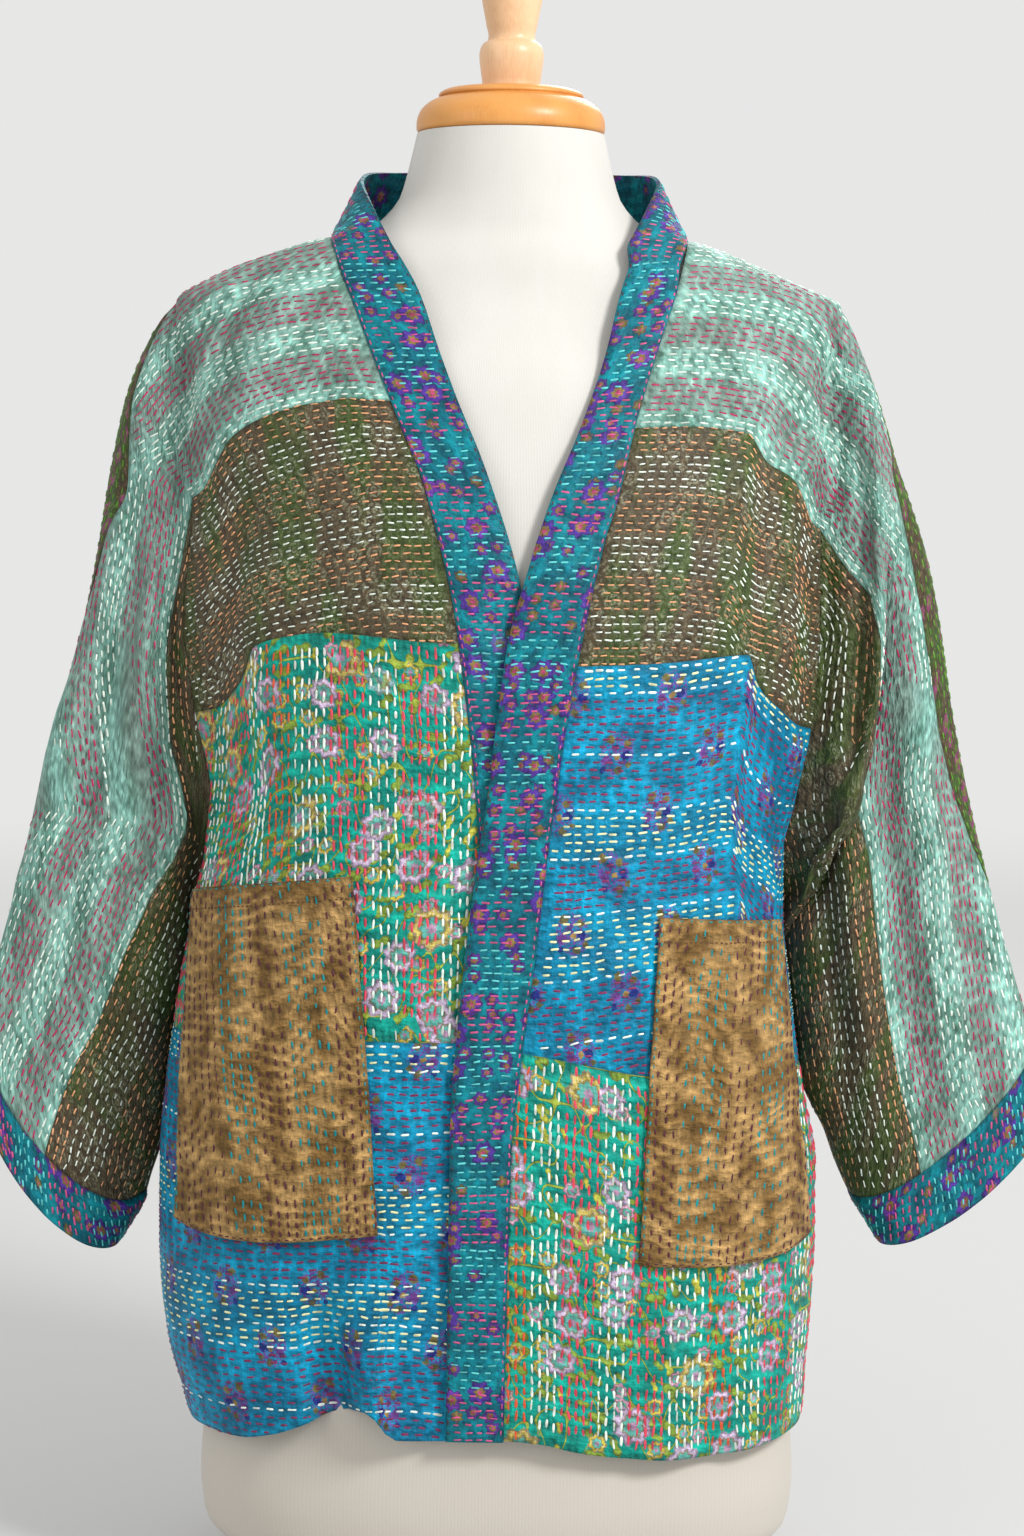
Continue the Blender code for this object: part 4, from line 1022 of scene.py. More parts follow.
def paint_olive(flow):
    colour = flow.mix(flow.grain(27, 110, 2.0, 3.0).step(0.42, 0.58), (74, 60, 44), (52, 76, 24))
    radius = root(flow.across.repeat(12.4), flow.down.repeat(12.4))
    rings = ((0.31, 0.12, 0.03), (0.10, 0.08, 0.02), (0.62, 0.10, 0.03))
    ring, eye, corner = (radius.near(*place) for place in rings)
    lace = ring.math("MAXIMUM", eye).math("MAXIMUM", corner) * flow.grain(1.5, 1.5, 7.0).step(0.40, 0.56)
    shows = flow.grain(24, 24, 4.0, 1.0).step(0.40, 0.62) * 0.5 + 0.10
    weave = flow.grain(1.1, 1.1, 6.0, 1.0).step(0.35, 0.65)
    return flow.layers(colour, (weave * 0.35, (110, 104, 76)), (lace * shows, (156, 158, 130)))


def paint_floral(flow):
    vine = (flow.grain(15, 24, 9.0, 0.0) - 0.5).math("ABSOLUTE")
    colour = flow.layers(
        flow.mix(flow.grain(26, 26, 1.0).step(0.38, 0.62), (0, 136, 122), (8, 172, 152)),
        (vine.step(0.022, 0.017) * 0.7, (44, 84, 40)),
        (vine.step(0.014, 0.009), (150, 166, 60)),
    )
    for spacing, size, shift in ((11.0, 3.4, 3), (15.0, 5.2, 9)):
        leaf, number = flow.blossoms(spacing, size, 2.0, shift, notch=0.36)
        tone = flow.mix(number.step(0.62, 0.66), (188, 186, 70), (136, 164, 62))
        tone = flow.mix(leaf.step(0.72, 0.84) * 0.6, tone, (84, 84, 30))
        colour = flow.mix(leaf.step(1.04, 0.94) * number.step(0.54, 0.58), colour, tone)
    streak = flow.grain(1.5, 1.5, 3.0).step(0.5, 0.68)
    for spacing, size, petals, shift, first, second, least in (
        (17.0, 4.8, 7.0, 5, (204, 150, 176), (200, 182, 60), 0.55),
        (33.0, 11.0, 8.0, 8, (198, 178, 206), (206, 186, 90), 0.16),
    ):
        share, number = flow.blossoms(spacing, size, petals, shift, notch=0.10, rough=0.34)
        petal = flow.layers(
            flow.mix(number.step(0.70, 0.72), first, second),
            (streak * 0.5, (226, 214, 230)),
            (share.step(0.60, 0.52), (96, 176, 164)),
            (share.near(0.58, 0.10, 0.03) * 0.7, (120, 104, 40)),
            (share.step(0.26, 0.2), (176, 140, 168)),
            (share.step(0.80, 0.94) * 0.65, (92, 74, 90)),
        )
        colour = flow.mix(share.step(1.04, 0.97) * number.step(least, least + 0.02), colour, petal)
    return colour


# Painted sprigs of the blue cloth: distance between two, and the spots of one, with place and size
SPRIG_ACROSS, SPRIG_DOWN = 58.0, 34.0
SPRIG_SPOTS = (
    (-4.5, -8.5, 2.8, (116, 104, 34)), (4.8, -6.0, 2.5, (116, 104, 34)), (2.0, 9.5, 2.6, (98, 92, 40)),
    (5.4, 1.0, 3.0, (22, 30, 122)), (-5.6, 3.0, 2.9, (110, 56, 136)), (0.5, 1.6, 1.9, (156, 122, 44)),
    (-1.5, -3.6, 2.0, (88, 50, 120)), (7.5, 6.4, 2.0, (104, 96, 36)), (-7.0, 9.0, 2.0, (30, 36, 118)),
)


def paint_blue(flow):
    colour = flow.mix(flow.grain(34, 30, 1.0).step(0.36, 0.64), (0, 112, 148), (0, 152, 192))
    odd = ((flow.down / SPRIG_DOWN).math("FLOOR") * 0.5).math("FRACT")
    x = ((flow.across / SPRIG_ACROSS + odd + 0.37).math("FRACT") - 0.5) * SPRIG_ACROSS
    y = flow.down.repeat(SPRIG_DOWN) * SPRIG_DOWN
    warp = (flow.grain(2.6, 2.6, 3.0) - 0.5) * 4.0
    within = ((x * x) / 100.0 + (y * y) / 170.0 + warp * 0.10).step(1.05, 0.75)
    lines = flow.grain(2.3, 2.3, 6.0, 1.0).near(0.5, 0.085, 0.04)
    colour = flow.mix(within * lines * 0.9, colour, (104, 60, 150))
    for at_x, at_y, size, tone in SPRIG_SPOTS:
        spot = root(x - at_x + warp, y - at_y - warp).step(size * 1.05, size * 0.75)
        colour = flow.mix(spot * 0.9, colour, tone)
    return colour


def paint_teal(flow):
    colour = flow.mix(flow.grain(22, 22, 1.0).step(0.38, 0.62), (0, 96, 112), (0, 130, 142))
    colour = flow.mix(flow.grain(2.2, 1.4, 5.0, 1.0).step(0.62, 0.68) * 0.7, colour, (30, 40, 110))
    streak = flow.grain(1.3, 1.3, 3.0).step(0.48, 0.62)
    for spacing, size, petals, shift, first, second, least in (
        (11.5, 3.9, 6.0, 4, (110, 100, 44), (92, 54, 136), 0.46),
        (20.0, 6.8, 7.0, 7, (116, 58, 164), (84, 52, 150), 0.50),
    ):
        share, number = flow.blossoms(spacing, size, petals, shift, rough=0.42)
        petal = flow.layers(
            flow.mix(number.step(0.58, 0.62), first, second),
            (streak * 0.6, (60, 44, 126)),
            (share.step(0.5, 0.4), (126, 110, 56)),
            (share.step(0.24, 0.16), (176, 70, 110)),
            (share.step(0.78, 0.94) * 0.7, (34, 40, 84)),
        )
        colour = flow.mix(share.step(1.04, 0.92) * number.step(least, least + 0.02), colour, petal)
    return colour


def paint_camel(flow):
    # Painted light and shade: the broad soft patches stand in for the lit and shaded sides of folds, and the
    # fine grain is the nap's own tone.
    tone = flow.grain(2.0, 3.0, 0.0, 3.0, 0.65) * 0.2 + flow.grain(17, 26, 3.0, 1.0) * 0.8
    return flow.mix(tone.step(0.36, 0.64), (126, 95, 50), (188, 150, 94))


def paint_green(flow):
    share, number = flow.blossoms(15.0, 5.2, 7.0, 6, rough=0.4)
    petal = flow.mix(share.step(0.45, 0.35), (140, 58, 108), (120, 112, 60))
    return flow.layers(
        flow.mix(flow.grain(20, 20, 2.0, 3.0, 0.6).step(0.42, 0.58), (78, 64, 46), (62, 90, 36)),
        (share.step(1.04, 0.88) * number.step(0.4, 0.45) * 0.8, petal),
        (flow.grain(2.6, 2.6, 8.0).step(0.56, 0.64) * 0.45, (126, 118, 78)),
    )


def paint_patch(flow):
    return flow.mix(flow.grain(14, 1.5, 2.0, 3.0).step(0.4, 0.6), (6, 90, 52), (24, 148, 90))


def thread(name, colour):
    """Thread: soft, a little lighter and darker from place to place, with a fine twist."""
    flow = Flow(f"thread_{name}", roughness=0.5, sheen=0.1, specular=0.3)
    spots = flow.noise(*(place * 160 for place in flow.object_place()), 1.0)
    return flow.finish(flow.mix(spots.step(0.35, 0.6), tuple(v * 0.8 for v in colour), colour))


# Ribs of the linen's weave, counted all round the form
LINEN_RIBS = 397


def linen():
    flow = Flow("dress_form_linen", roughness=0.85, sheen=0.15, specular=0.2)
    x, y, up = flow.object_place()
    turn = y.math("ARCTAN2", x)
    across, up = turn * 120.0, up * 1000.0
    rib = (turn * (LINEN_RIBS / TURN)).wave()
    weave = flow.noise(across / 0.8, up / 2.5)
    tone = rib * 0.2 + weave * 0.35 + flow.noise(across / 40, up / 60, 3.0) * 0.45
    colour = flow.mix(tone.step(0.1, 0.85), (196, 193, 186), (207, 205, 199))
    # Painted shade and reflected light: below 240 mm the linen turns darker and warmer, as in the shade
    # under the jacket with warm light off the cloth.
    colour = flow.mix(up.step(240.0, 110.0) * 0.5, colour, (184, 172, 156))
    return flow.finish(colour, rib * 0.03 + weave * 0.06)


def wood(name, light, dark):
    flow = Flow(name, roughness=0.42, specular=0.4, coat=0.12)
    x, y, z = flow.object_place()
    bend = (flow.noise(x * 14, y * 14, z * 3) - 0.5) * 2.4
    rings = (x * 16 + y * 24 + z * 7.0 + bend).wave()
    pores = flow.noise(x * 1100, y * 1100, z * 90)
    tone = rings * 0.2 + pores * 0.45 + flow.noise(x * 20, y * 20, z * 30) * 0.35
    return flow.finish(flow.mix(tone.step(0.25, 0.85), light, dark), pores * 0.04, pores * 0.15 + 0.34)


# Running stitches: stations, taper, thread height, and how much one differs from the next
STATIONS, TAPER = (-0.5, -0.36, 0.36, 0.5), 0.45
THREAD_HEIGHT, THREAD_SINK = 0.5, 0.15
PHASE_JITTER, LENGTH_JITTER, WIDTH_JITTER = 0.13, 0.14, 0.1
TURN_JITTER, SHIFT_JITTER = 0.08, 0.18
END_MARGIN = 1.2
BORDER_WIDTH = 0.8
random = np.random.default_rng(7)

THREAD_MATERIALS = {
    name: thread(name, colour) for name, colour in {
        "white": (230, 240, 228),
        "pink": (176, 26, 84),
        "peach": (226, 164, 118),
        "coral": (222, 70, 92),
        "orange": (216, 84, 48),
        "red": (128, 34, 82),
        "yellow": (230, 232, 178),
        "rose": (206, 84, 134),
        "aqua": (96, 204, 204),
        "plum": (84, 34, 46),
        "teal": (0, 136, 140),
        "lime": (84, 140, 30),
        "umber": (96, 62, 26),
    }.items()
}

# Colours of the rows, in order from the edge that they are counted from
MINT_ROWS = (
    ("white", 3), ("pink", 6), ("white", 5), ("pink", 5), ("white", 4),
    ("pink", 5), ("white", 5), ("pink", 5),
)
OLIVE_ROWS = (("peach", 4), ("white", 5), ("peach", 6), ("white", 5), ("peach", 5), ("white", 4))
FLORAL_ROWS = (("orange", 4), ("white", 4), ("coral", 5), ("white", 4), ("coral", 5), ("white", 5))
BLUE_ROWS = (
    ("white", 1), ("yellow", 2), ("white", 1), ("red", 7), ("white", 1), ("red", 6),
    ("white", 1), ("yellow", 5), ("white", 1), ("red", 6), ("white", 1), ("yellow", 4),
)
BAND_ROWS = (("rose", 7), ("aqua", 6), ("rose", 6), ("aqua", 7))
POCKET_ROWS = (("plum", 4), ("teal", 5), ("plum", 4), ("teal", 4), ("plum", 3))
BACK_ROWS = (("lime", 6), ("rose", 3), ("lime", 5), ("aqua", 3))
PATCH_ROWS = (("lime", 4),)

# Stitches along edges: edge, distance from it, pitch, colour and length
BAND_BORDERS = (("first", 1.6, 5.2, "rose", 2.6), ("last", 1.6, 6.4, "plum", 2.2))
POCKET_BORDERS = (
    ("top", 13.5, 3.4, "umber", 2.1), ("top", 1.4, 6.5, "teal", 2.2), ("first", 1.6, 5.4, "teal", 2.4),
    ("last", 1.6, 5.4, "teal", 2.4), ("foot", 1.6, 5.0, "plum", 2.4),
)
SLEEVE_BORDERS = (("first", 1.5, 6.0, "lime", 3.0),)


def row_colour(pattern, number):
    place = number % sum(count for _, count in pattern)
    for colour, count in pattern:
        if place < count:
            return colour
        place -= count


def stitch_lines(cloth):
    """Each row of stitches on the cloth: its number, points, normals and phase."""
    row, fields = cloth.row, [cloth.skin(), cloth.normals, cloth.phase]
    if cloth.kind == "upright":
        row, fields = row.T, [np.swapaxes(field, 0, 1) for field in fields]
    if row[-1].mean() < row[0].mean():
        row, fields = row[::-1], [field[::-1] for field in fields]
    row = np.maximum.accumulate(row, axis=0)
    steps, columns = np.arange(len(row)), np.arange(row.shape[1])
    for number in range(math.ceil(row.min()), math.floor(row.max()) + 1):
        at = np.array([np.interp(number, row[:, j], steps, left=np.nan, right=np.nan) for j in columns])
        inside = columns[~np.isnan(at)]
        for run in np.split(inside, np.nonzero(np.diff(inside) > 1)[0] + 1):
            if len(run) < 4:
                continue
            low = np.minimum(np.floor(at[run]).astype(int), len(row) - 2)
            share = at[run] - low
            points, normals, phase = (
                field[low, run] + ((field[low + 1, run] - field[low, run]).T * share).T for field in fields
            )
            if cloth.even:
                phase = running_length(points, 0) / cloth.pitch
                phase = phase + 0.7 * lattice_noise(points[:, 0] / 30, points[:, 2] / 30, 21)
            yield number, points, normals, phase


def border_line(cloth, side, inset, pitch):
    """A line of points beside one edge of the piece, with its normals and stitch phase."""
    fields = [cloth.skin(), cloth.normals]
    if side in ("top", "foot"):
        fields = [np.swapaxes(field, 0, 1) for field in fields]
    if side in ("last", "foot"):
        fields = [field[:, ::-1] for field in fields]
    step = np.linalg.norm(fields[0][:, 1] - fields[0][:, 0], axis=-1).mean()
    low, share = int(inset / step), inset / step % 1
    points, normals = (field[:, low] + (field[:, low + 1] - field[:, low]) * share for field in fields)
    return points, normals, running_length(points, 0) / pitch


def sew(points, normals, phase, length, width):
    """Threads along one line: the points, outward and sideways directions of their stations,
    and their widths."""
    arc = running_length(points, 0)
    if phase[-1] < phase[0]:
        phase = -phase
    phase = np.maximum.accumulate(phase + random.normal(0, PHASE_JITTER))
    count = np.arange(math.ceil(phase[0]), math.floor(phase[-1]) + 1)
    middle = np.interp(count, phase, arc)
    length = length * np.clip(1 + random.normal(0, LENGTH_JITTER, len(middle)), 0.65, 1.4)
    fits = (middle - length / 2 > END_MARGIN) & (middle + length / 2 < arc[-1] - END_MARGIN)
    middle, length = middle[fits, None], length[fits, None]
    if not len(middle):
        return None
    stations = middle + length * np.array(STATIONS)
    at, up = (
        np.stack([np.interp(stations, arc, axis) for axis in field.T], -1) for field in (points, normals)
    )
    up = unit(up)
    side = unit(np.cross(up, (at[:, -1] - at[:, 0])[:, None, :]))
    turn = random.normal(0, TURN_JITTER, len(middle))[:, None, None]
    shift = random.normal(0, SHIFT_JITTER, len(middle))[:, None, None]
    at = at + side * (turn * (stations - middle)[..., None] + shift)
    return at, up, side, width * np.clip(1 + random.normal(0, WIDTH_JITTER, len(middle)), 0.75, 1.3)


def stitches(cloth, slot, pattern, length, width, borders=()):
    """All the stitches of a piece as one mesh of short raised threads."""
    name = f"stitches_{cloth.node}"
    runs = [(row_colour(pattern, number), *run, length, width) for number, *run in stitch_lines(cloth)]
    for side, inset, pitch, colour, long in borders:
        runs.append((colour, *border_line(cloth, side, inset, pitch), long, BORDER_WIDTH * width))
    colours = sorted({run[0] for run in runs})
    sewn = [(colours.index(colour), sew(*run)) for colour, *run in runs]
    sewn = [(kind, threads) for kind, threads in sewn if threads]
    at, up, side, widths = (np.concatenate(parts) for parts in zip(*(threads for _, threads in sewn)))
    half = widths[:, None, None] / 2 * np.array([TAPER, 1, 1, TAPER])[:, None]
    rise = THREAD_HEIGHT * np.array([-0.05, 1, 1, -0.05])[:, None]
    left = at - side * half - up * THREAD_SINK
    right = at + side * half - up * THREAD_SINK
    points = np.stack([left, at + up * rise, right], 2).reshape(-1, 3)
    faces = np.array([(s + k, s + 3 + k, s + 4 + k, s + 1 + k) for s in (0, 3, 6) for k in (0, 1)])
    quads = (3 * len(STATIONS) * np.arange(len(at))[:, None, None] + faces).reshape(-1, 4)
    mesh = mesh_from(name, points, quads)
    for colour in colours:
        mesh.materials.append(THREAD_MATERIALS[colour])
    kinds = [np.full(len(threads[0]) * len(faces), kind) for kind, threads in sewn]
    mesh.polygons.foreach_set("material_index", np.concatenate(kinds).astype(np.int32))
    return add_piece(name, mesh, slot)


# Width and length in millimetres of the rectangle that each panel fits in when it is laid flat
CUTS = {
    "front_left_mint": (172, 589), "front_right_mint": (174, 599),
    "front_left_olive": (155, 203), "front_right_olive": (155, 184),
    "sleeve_left_olive": (77, 429), "sleeve_right_olive": (83, 417),
    "front_left_floral": (237, 264), "front_right_floral": (237, 262),
    "front_left_blue": (237, 289), "front_right_blue": (240, 246),
    "sleeve_left_back": (184, 549), "sleeve_right_back": (214, 519),
    "pocket_left": (148, 210), "pocket_right": (135, 202),
    "back_upper": (439, 479), "back_lower": (317, 537), "sleeve_repair_patch": (34, 135),
}


def declare(cloth):
    """Works out a piece's cut, which is not kept or stated; the bands and cuffs are straight strips,
    measured along them.
    """
    width, length = CUTS.get(cloth.node, (cloth.across.max(), cloth.down.max()))


def dress(cloth, look, borders=()):
    """Makes a cloth piece with its stitches and works out its cut, which is not kept."""
    material, slot, pattern, length, width = look
    piece = shell(cloth, material, slot)
    sewn = stitches(cloth, slot, pattern, length, width, borders)
    declare(cloth)


def shares(length, step=CLOTH_STEP):
    """Even shares from 0 to 1, about a step apart along a length in millimetres."""
    return np.linspace(0, 1, max(4, int(round(length / step)) + 1))


def crowded(even, power=1.15):
    """Shares drawn together towards 1."""
    return 1 - (1 - even) ** power


SLEEVE_SHARES = shares(450) ** 1.1
BAND_COLUMNS = shares(44)
BAND_FOOT, BAND_TOP, BAND_STEPS = 109.0, 770.0, 52
COLLAR_STEPS, BACK_COLLAR_STEPS = 12, 17
CUFF_ROUND, CUFF_ENDS, CUFF_STEPS = 330, (1.0, 1.1), 15
PATCH_STEPS_ALONG, PATCH_STEPS_ROUND = 22, 30


def front_points(side, top, foot, columns, spread):
    """Points of a front panel between two seams; spread gives the rows' shares."""
    inner_z = 0.5 * (top(np.array(0.2)) + foot(np.array(0.2))) + np.zeros_like(spread)
    for _ in range(ROW_ROUNDS):
        u = band_column(side, inner_z)
        inner_z = top(u) + spread * (foot(u) - top(u))
    start = band_column(side, inner_z)[:, None]
    u = start + columns * (1 - start)
    return body_cloth(side, FRONT, u, top(u) + spread[:, None] * (foot(u) - top(u)))


def sleeve_points(side, s, first, last, rows):
    """Points of a sleeve panel between two seams, and how far round the sleeve each is."""
    t = first + rows[:, None] * (last - first)
    return sleeve_cloth(side, s, t), t


def mint_front(side):
    rows = shares(130)
    t_end = sleeve_seam(side, "mint", 0.0)
    spread = round_share(rows * t_end) / round_share(t_end)
    body = front_points(side, shoulder_line(side), mint_line(side), crowded(shares(190)), spread)
    s = SLEEVE_SHARES[1:]
    sleeve, _ = sleeve_points(side, s, sleeve_seam(side, "top", s), sleeve_seam(side, "mint", s), rows)
    cloth = Cloth(f"front_{SIDE_NAMES[side]}_mint", np.concatenate([body, sleeve], 1), TOWARDS_FRONT, FRONT)
    level = distance_to(cloth.points, cloth.points[-1], 0.5)
    return cloth.set_rows("level", 3.55, 7.8, 2.0, 1.6, level=level)


def sleeve_under_front(side):
    low = sleeve_seam(side, "mint", SLEEVE_SHARES)
    points, _ = sleeve_points(side, SLEEVE_SHARES, low, 1, shares(110))
    cloth = Cloth(f"sleeve_{SIDE_NAMES[side]}_olive", lapped(points, "first"), TOWARDS_FRONT, FRONT)
    level = distance_to(cloth.points, cloth.points[0], 0.7)
    return cloth.set_rows("level", 4.6, 6.8, 2.0, 2.6, level=level)


def sleeve_back(side):
    high = 2 + sleeve_seam(side, "top", SLEEVE_SHARES)
    points, t = sleeve_points(side, SLEEVE_SHARES, high, 1, shares(190) ** 1.1)
    face = np.where(np.mod(t, 2) < 1, FRONT, BACK)
    cloth = Cloth(f"sleeve_{SIDE_NAMES[side]}_back", lapped(points, "first"), TOWARDS_BACK, face)
    level = distance_to(cloth.points, cloth.points[0], 0.8)
    return cloth.set_rows("level", 5.0, 8.0, 2.0, 2.0, level=level)


def front_panel(side, name, top, foot, height):
    step = FINE_STEP if name == "floral" else CLOTH_STEP
    points = front_points(side, top, foot, crowded(shares(190, step)), shares(height, step))
    middle = np.abs(points[:, :1, 0])
    cloth = Cloth(f"front_{SIDE_NAMES[side]}_{name}", lapped(points, "last"), TOWARDS_FRONT, FRONT)
    if name == "floral":
        return cloth.set_rows("upright", 4.6, 9.0, 2.4, middle, depth=0.6).ripple(0.42)
    spacing, pitch, wave, base = {"blue": (4.6, 7.6, 5.0, 2.0), "olive": (4.5, 6.7, 3.0, 2.6)}[name]
    return cloth.set_rows("level", spacing, pitch, wave, base, depth=0.6)


def both_halves(points_of):
    """A grid across the whole back from the points of each half, which share their middle."""
    left, right = (points_of(side) for side in (LEFT, RIGHT))
    return np.concatenate([left[:, ::-1], right[:, 1:]], 1)


def neck_column(side):
    """The u of the point where the shoulder line meets the neck."""
    return column_at(side, BODY["left"][BODY["height"] == NECK_POINT][0], TIP + 1)


def upper_back():
    start = neck_column(LEFT)
    inner, outer = start * crowded(shares(105), 1.3), start + (1 - start) * crowded(shares(110))
    u = np.concatenate([inner, outer[1:]])
    rows = round_share(shares(390) ** 1.1)[:, None]

    def half(side):
        edge, neck = shoulder_line(side)(u), neck_column(side)
        top = np.minimum(edge, BACK_NECK + (NECK_POINT - BACK_NECK) * (u / neck) ** 4)
        top = np.where(u >= neck, edge, top)
        return body_cloth(side, BACK, u, top + rows * (UNDERARM - top))

    cloth = Cloth("back_upper", lapped(both_halves(half), "first", "last"), TOWARDS_BACK, BACK)
    height = cloth.points[..., 2]
    return cloth.set_rows("level", 5.0, 8.0, 5.0, 2.0, level=height.max() - height)


def lower_back():
    u = crowded(shares(200, FINE_STEP))
    z = UNDERARM + shares(305, FINE_STEP)[:, None] * (BACK_HEM - UNDERARM)
    points = both_halves(lambda side: body_cloth(side, BACK, u, z))
    cloth = Cloth("back_lower", lapped(points, "top", "first", "last"), TOWARDS_BACK, BACK)
    return cloth.set_rows("upright", 4.9, 9.2, 1.6).ripple(0.34)


def resample(points, step):
    """A strip's rows at even distances along a smooth curve through each column."""
    lengths = running_length(points, 0).mean(axis=1)
    at = np.linspace(0, lengths[-1], int(round(lengths[-1] / step)) + 1)
    low = np.clip(np.searchsorted(lengths, at, side="right") - 1, 0, len(lengths) - 2)
    gap = lengths[low + 1] - lengths[low]
    share = ((at - lengths[low]) / gap)[:, None, None]
    return hermite(points, np.gradient(points, lengths, axis=0), low, gap[:, None, None], share)


def standing_band(seam, free):
    """Points of the standing band, from a small gap above its seam edge to its free edge."""
    start = seam + unit(free - seam) * COLLAR_GAP
    return start[:, None, :] + (free - start)[:, None, :] * BAND_COLUMNS[:, None]


def front_band(side):
    z = np.linspace(BAND_FOOT, BAND_TOP, BAND_STEPS)
    seam_x = look_up(BAND_SEAM[side], "x", z)
    free_z = z + look_up(BAND_RISE, "rise", z)
    free_x = look_up(BAND_FREE[side], "x", free_z)
    x = seam_x[:, None] + BAND_COLUMNS * (free_x - seam_x)[:, None]
    height = z[:, None] + BAND_COLUMNS * (free_z - z)[:, None]
    chest = body_cloth(side, FRONT, column_at(side, x, height), height)
    neck = standing_band(*collar_rows(side, 0, BACK_COLLAR_FROM, COLLAR_STEPS))
    points = resample(np.concatenate([chest, neck], 0), CLOTH_STEP)
    cloth = Cloth(f"neckband_{SIDE_NAMES[side]}", points, TOWARDS_FRONT, FRONT, BAND_WALL)
    return cloth.set_rows("level", 4.5, 7.4, 3.0, 1.5)


def back_band():
    last = len(COLLAR["seam_x"]) - 1
    left, right = (collar_rows(side, BACK_COLLAR_FROM, last, BACK_COLLAR_STEPS) for side in (LEFT, RIGHT))
    seam, free = (np.concatenate([a, b[-2::-1]]) for a, b in zip(left, right))
    points = resample(standing_band(seam, free), CLOTH_STEP)
    cloth = Cloth("neckband_back", points, points * np.array([1.0, 1.0, 0.0]), None, BAND_WALL)
    return cloth.set_rows("level", 4.5, 7.4, 3.0, 1.5)


def cuff(side):
    t = np.linspace(0, 2, int(round(CUFF_ROUND / CLOTH_STEP)) + 1)[:-1, None]
    s = np.linspace(*CUFF_ENDS, CUFF_STEPS)
    points = sleeve_cloth(side, s, t)
    face = np.where(t < 1, FRONT, BACK)
    outward = points - points.mean(axis=0)
    cloth = Cloth(f"cuff_{SIDE_NAMES[side]}", points, outward, face, CUFF_WALL, closed=True)
    return cloth.set_rows("level", 4.5, 7.4, 2.0)


def pocket(side):
    outer_top, inner_top, inner_foot, outer_foot, dip = (np.array(value, float) for value in POCKETS[side])
    across = shares(112, FINE_STEP)
    down = shares(205, FINE_STEP)[:, None]
    top = inner_top + across[:, None] * (outer_top - inner_top)
    foot = inner_foot + across[:, None] * (outer_foot - inner_foot)
    x, z = np.moveaxis(top + down[..., None] * (foot - top), -1, 0)
    belly = np.sin(np.pi * across)
    z = z - dip * belly * down
    inner_u, outer_u = (column_at(side, x[:, edge, None], z[:, edge, None]) for edge in (0, -1))
    under = body_cloth(side, FRONT, inner_u + across * (outer_u - inner_u), z)
    out = WALL / 2 + POCKET_GAP + POCKET_LIFT + POCKET_WALL / 2 + POCKET_PUFF * belly * down
    points = laid_on(under, TOWARDS_FRONT, FRONT, out)
    cloth = Cloth(f"pocket_{SIDE_NAMES[side]}", points, TOWARDS_FRONT, None, POCKET_WALL)
    return cloth.set_rows("upright", 5.4, 8.6, 2.6, 2.0, depth=0.6, sway=1.5).ripple(0.45)


def repair_patch():
    s = np.linspace(*PATCH_ALONG, PATCH_STEPS_ALONG)
    t = np.linspace(*PATCH_ROUND, PATCH_STEPS_ROUND)[:, None]
    out = WALL / 2 + PATCH_GAP + PATCH_WALL / 2
    points = laid_on(sleeve_cloth(RIGHT, s, t), TOWARDS_BACK, BACK, out)
    cloth = Cloth("sleeve_repair_patch", points, TOWARDS_BACK, None, PATCH_WALL)
    return cloth.set_rows("level", 5.5, 8.0, 0.0, 1.5)


def build_jacket():
    floral = fabric("silk_floral", paint_floral, dip=0.7, crumple=1.3, lie=1.35, trough_shade=0.22)
    olive = fabric("silk_olive_print", paint_olive, roughness=0.5)
    camel = fabric(
        "camel_nap", paint_camel, dip=0.8, slub=0.2, crumple=1.9, lie=1.5,
        sheen=0.05, roughness=0.8, trough_shade=0.26,
    )
    blue = fabric("silk_blue_print", paint_blue, crumple=1.3, lie=1.35)
    teal = fabric("silk_teal_print", paint_teal, dip=0.4, crumple=0.8)
    looks = {
        "mint": (fabric("silk_mint", paint_mint), "mint_silk", MINT_ROWS, 5.2, 1.2),
        "olive": (olive, "olive_print", OLIVE_ROWS, 4.0, 1.1),
        "olive_sleeve": (olive, "olive_print", OLIVE_ROWS, 4.2, 1.1),
        "floral": (floral, "floral_print", FLORAL_ROWS, 5.9, 1.5),
        "blue": (blue, "blue_print", BLUE_ROWS, 4.6, 1.55),
        "green": (fabric("silk_green_print", paint_green), "green_print", BACK_ROWS, 4.6, 1.2),
        "teal": (teal, "teal_print", BAND_ROWS, 4.4, 1.25),
        "camel": (camel, "camel_nap", POCKET_ROWS, 4.3, 1.45),
        "patch": (fabric("silk_patch", paint_patch), "patch_silk", PATCH_ROWS, 4.0, 1.2),
    }
    for side in (LEFT, RIGHT):
        dress(mint_front(side), looks["mint"])
        chest, hip, hem = (seam_line(side, rows[side]) for rows in (CHEST_SEAM, HIP_SEAM, HEM))
        dress(front_panel(side, "olive", mint_line(side), chest, 145), looks["olive"])
        dress(sleeve_under_front(side), looks["olive_sleeve"])
        upper, lower = ("floral", "blue") if side == LEFT else ("blue", "floral")
        dress(front_panel(side, upper, chest, hip, 232), looks[upper])
        dress(front_panel(side, lower, hip, hem, 230), looks[lower])
        dress(sleeve_back(side), looks["green"], borders=SLEEVE_BORDERS)
        dress(front_band(side), looks["teal"], borders=BAND_BORDERS)
        dress(cuff(side), looks["teal"])
        dress(pocket(side), looks["camel"], POCKET_BORDERS)
    dress(upper_back(), looks["green"])
    dress(lower_back(), looks["floral"])
    dress(back_band(), looks["teal"])
    dress(repair_patch(), looks["patch"])


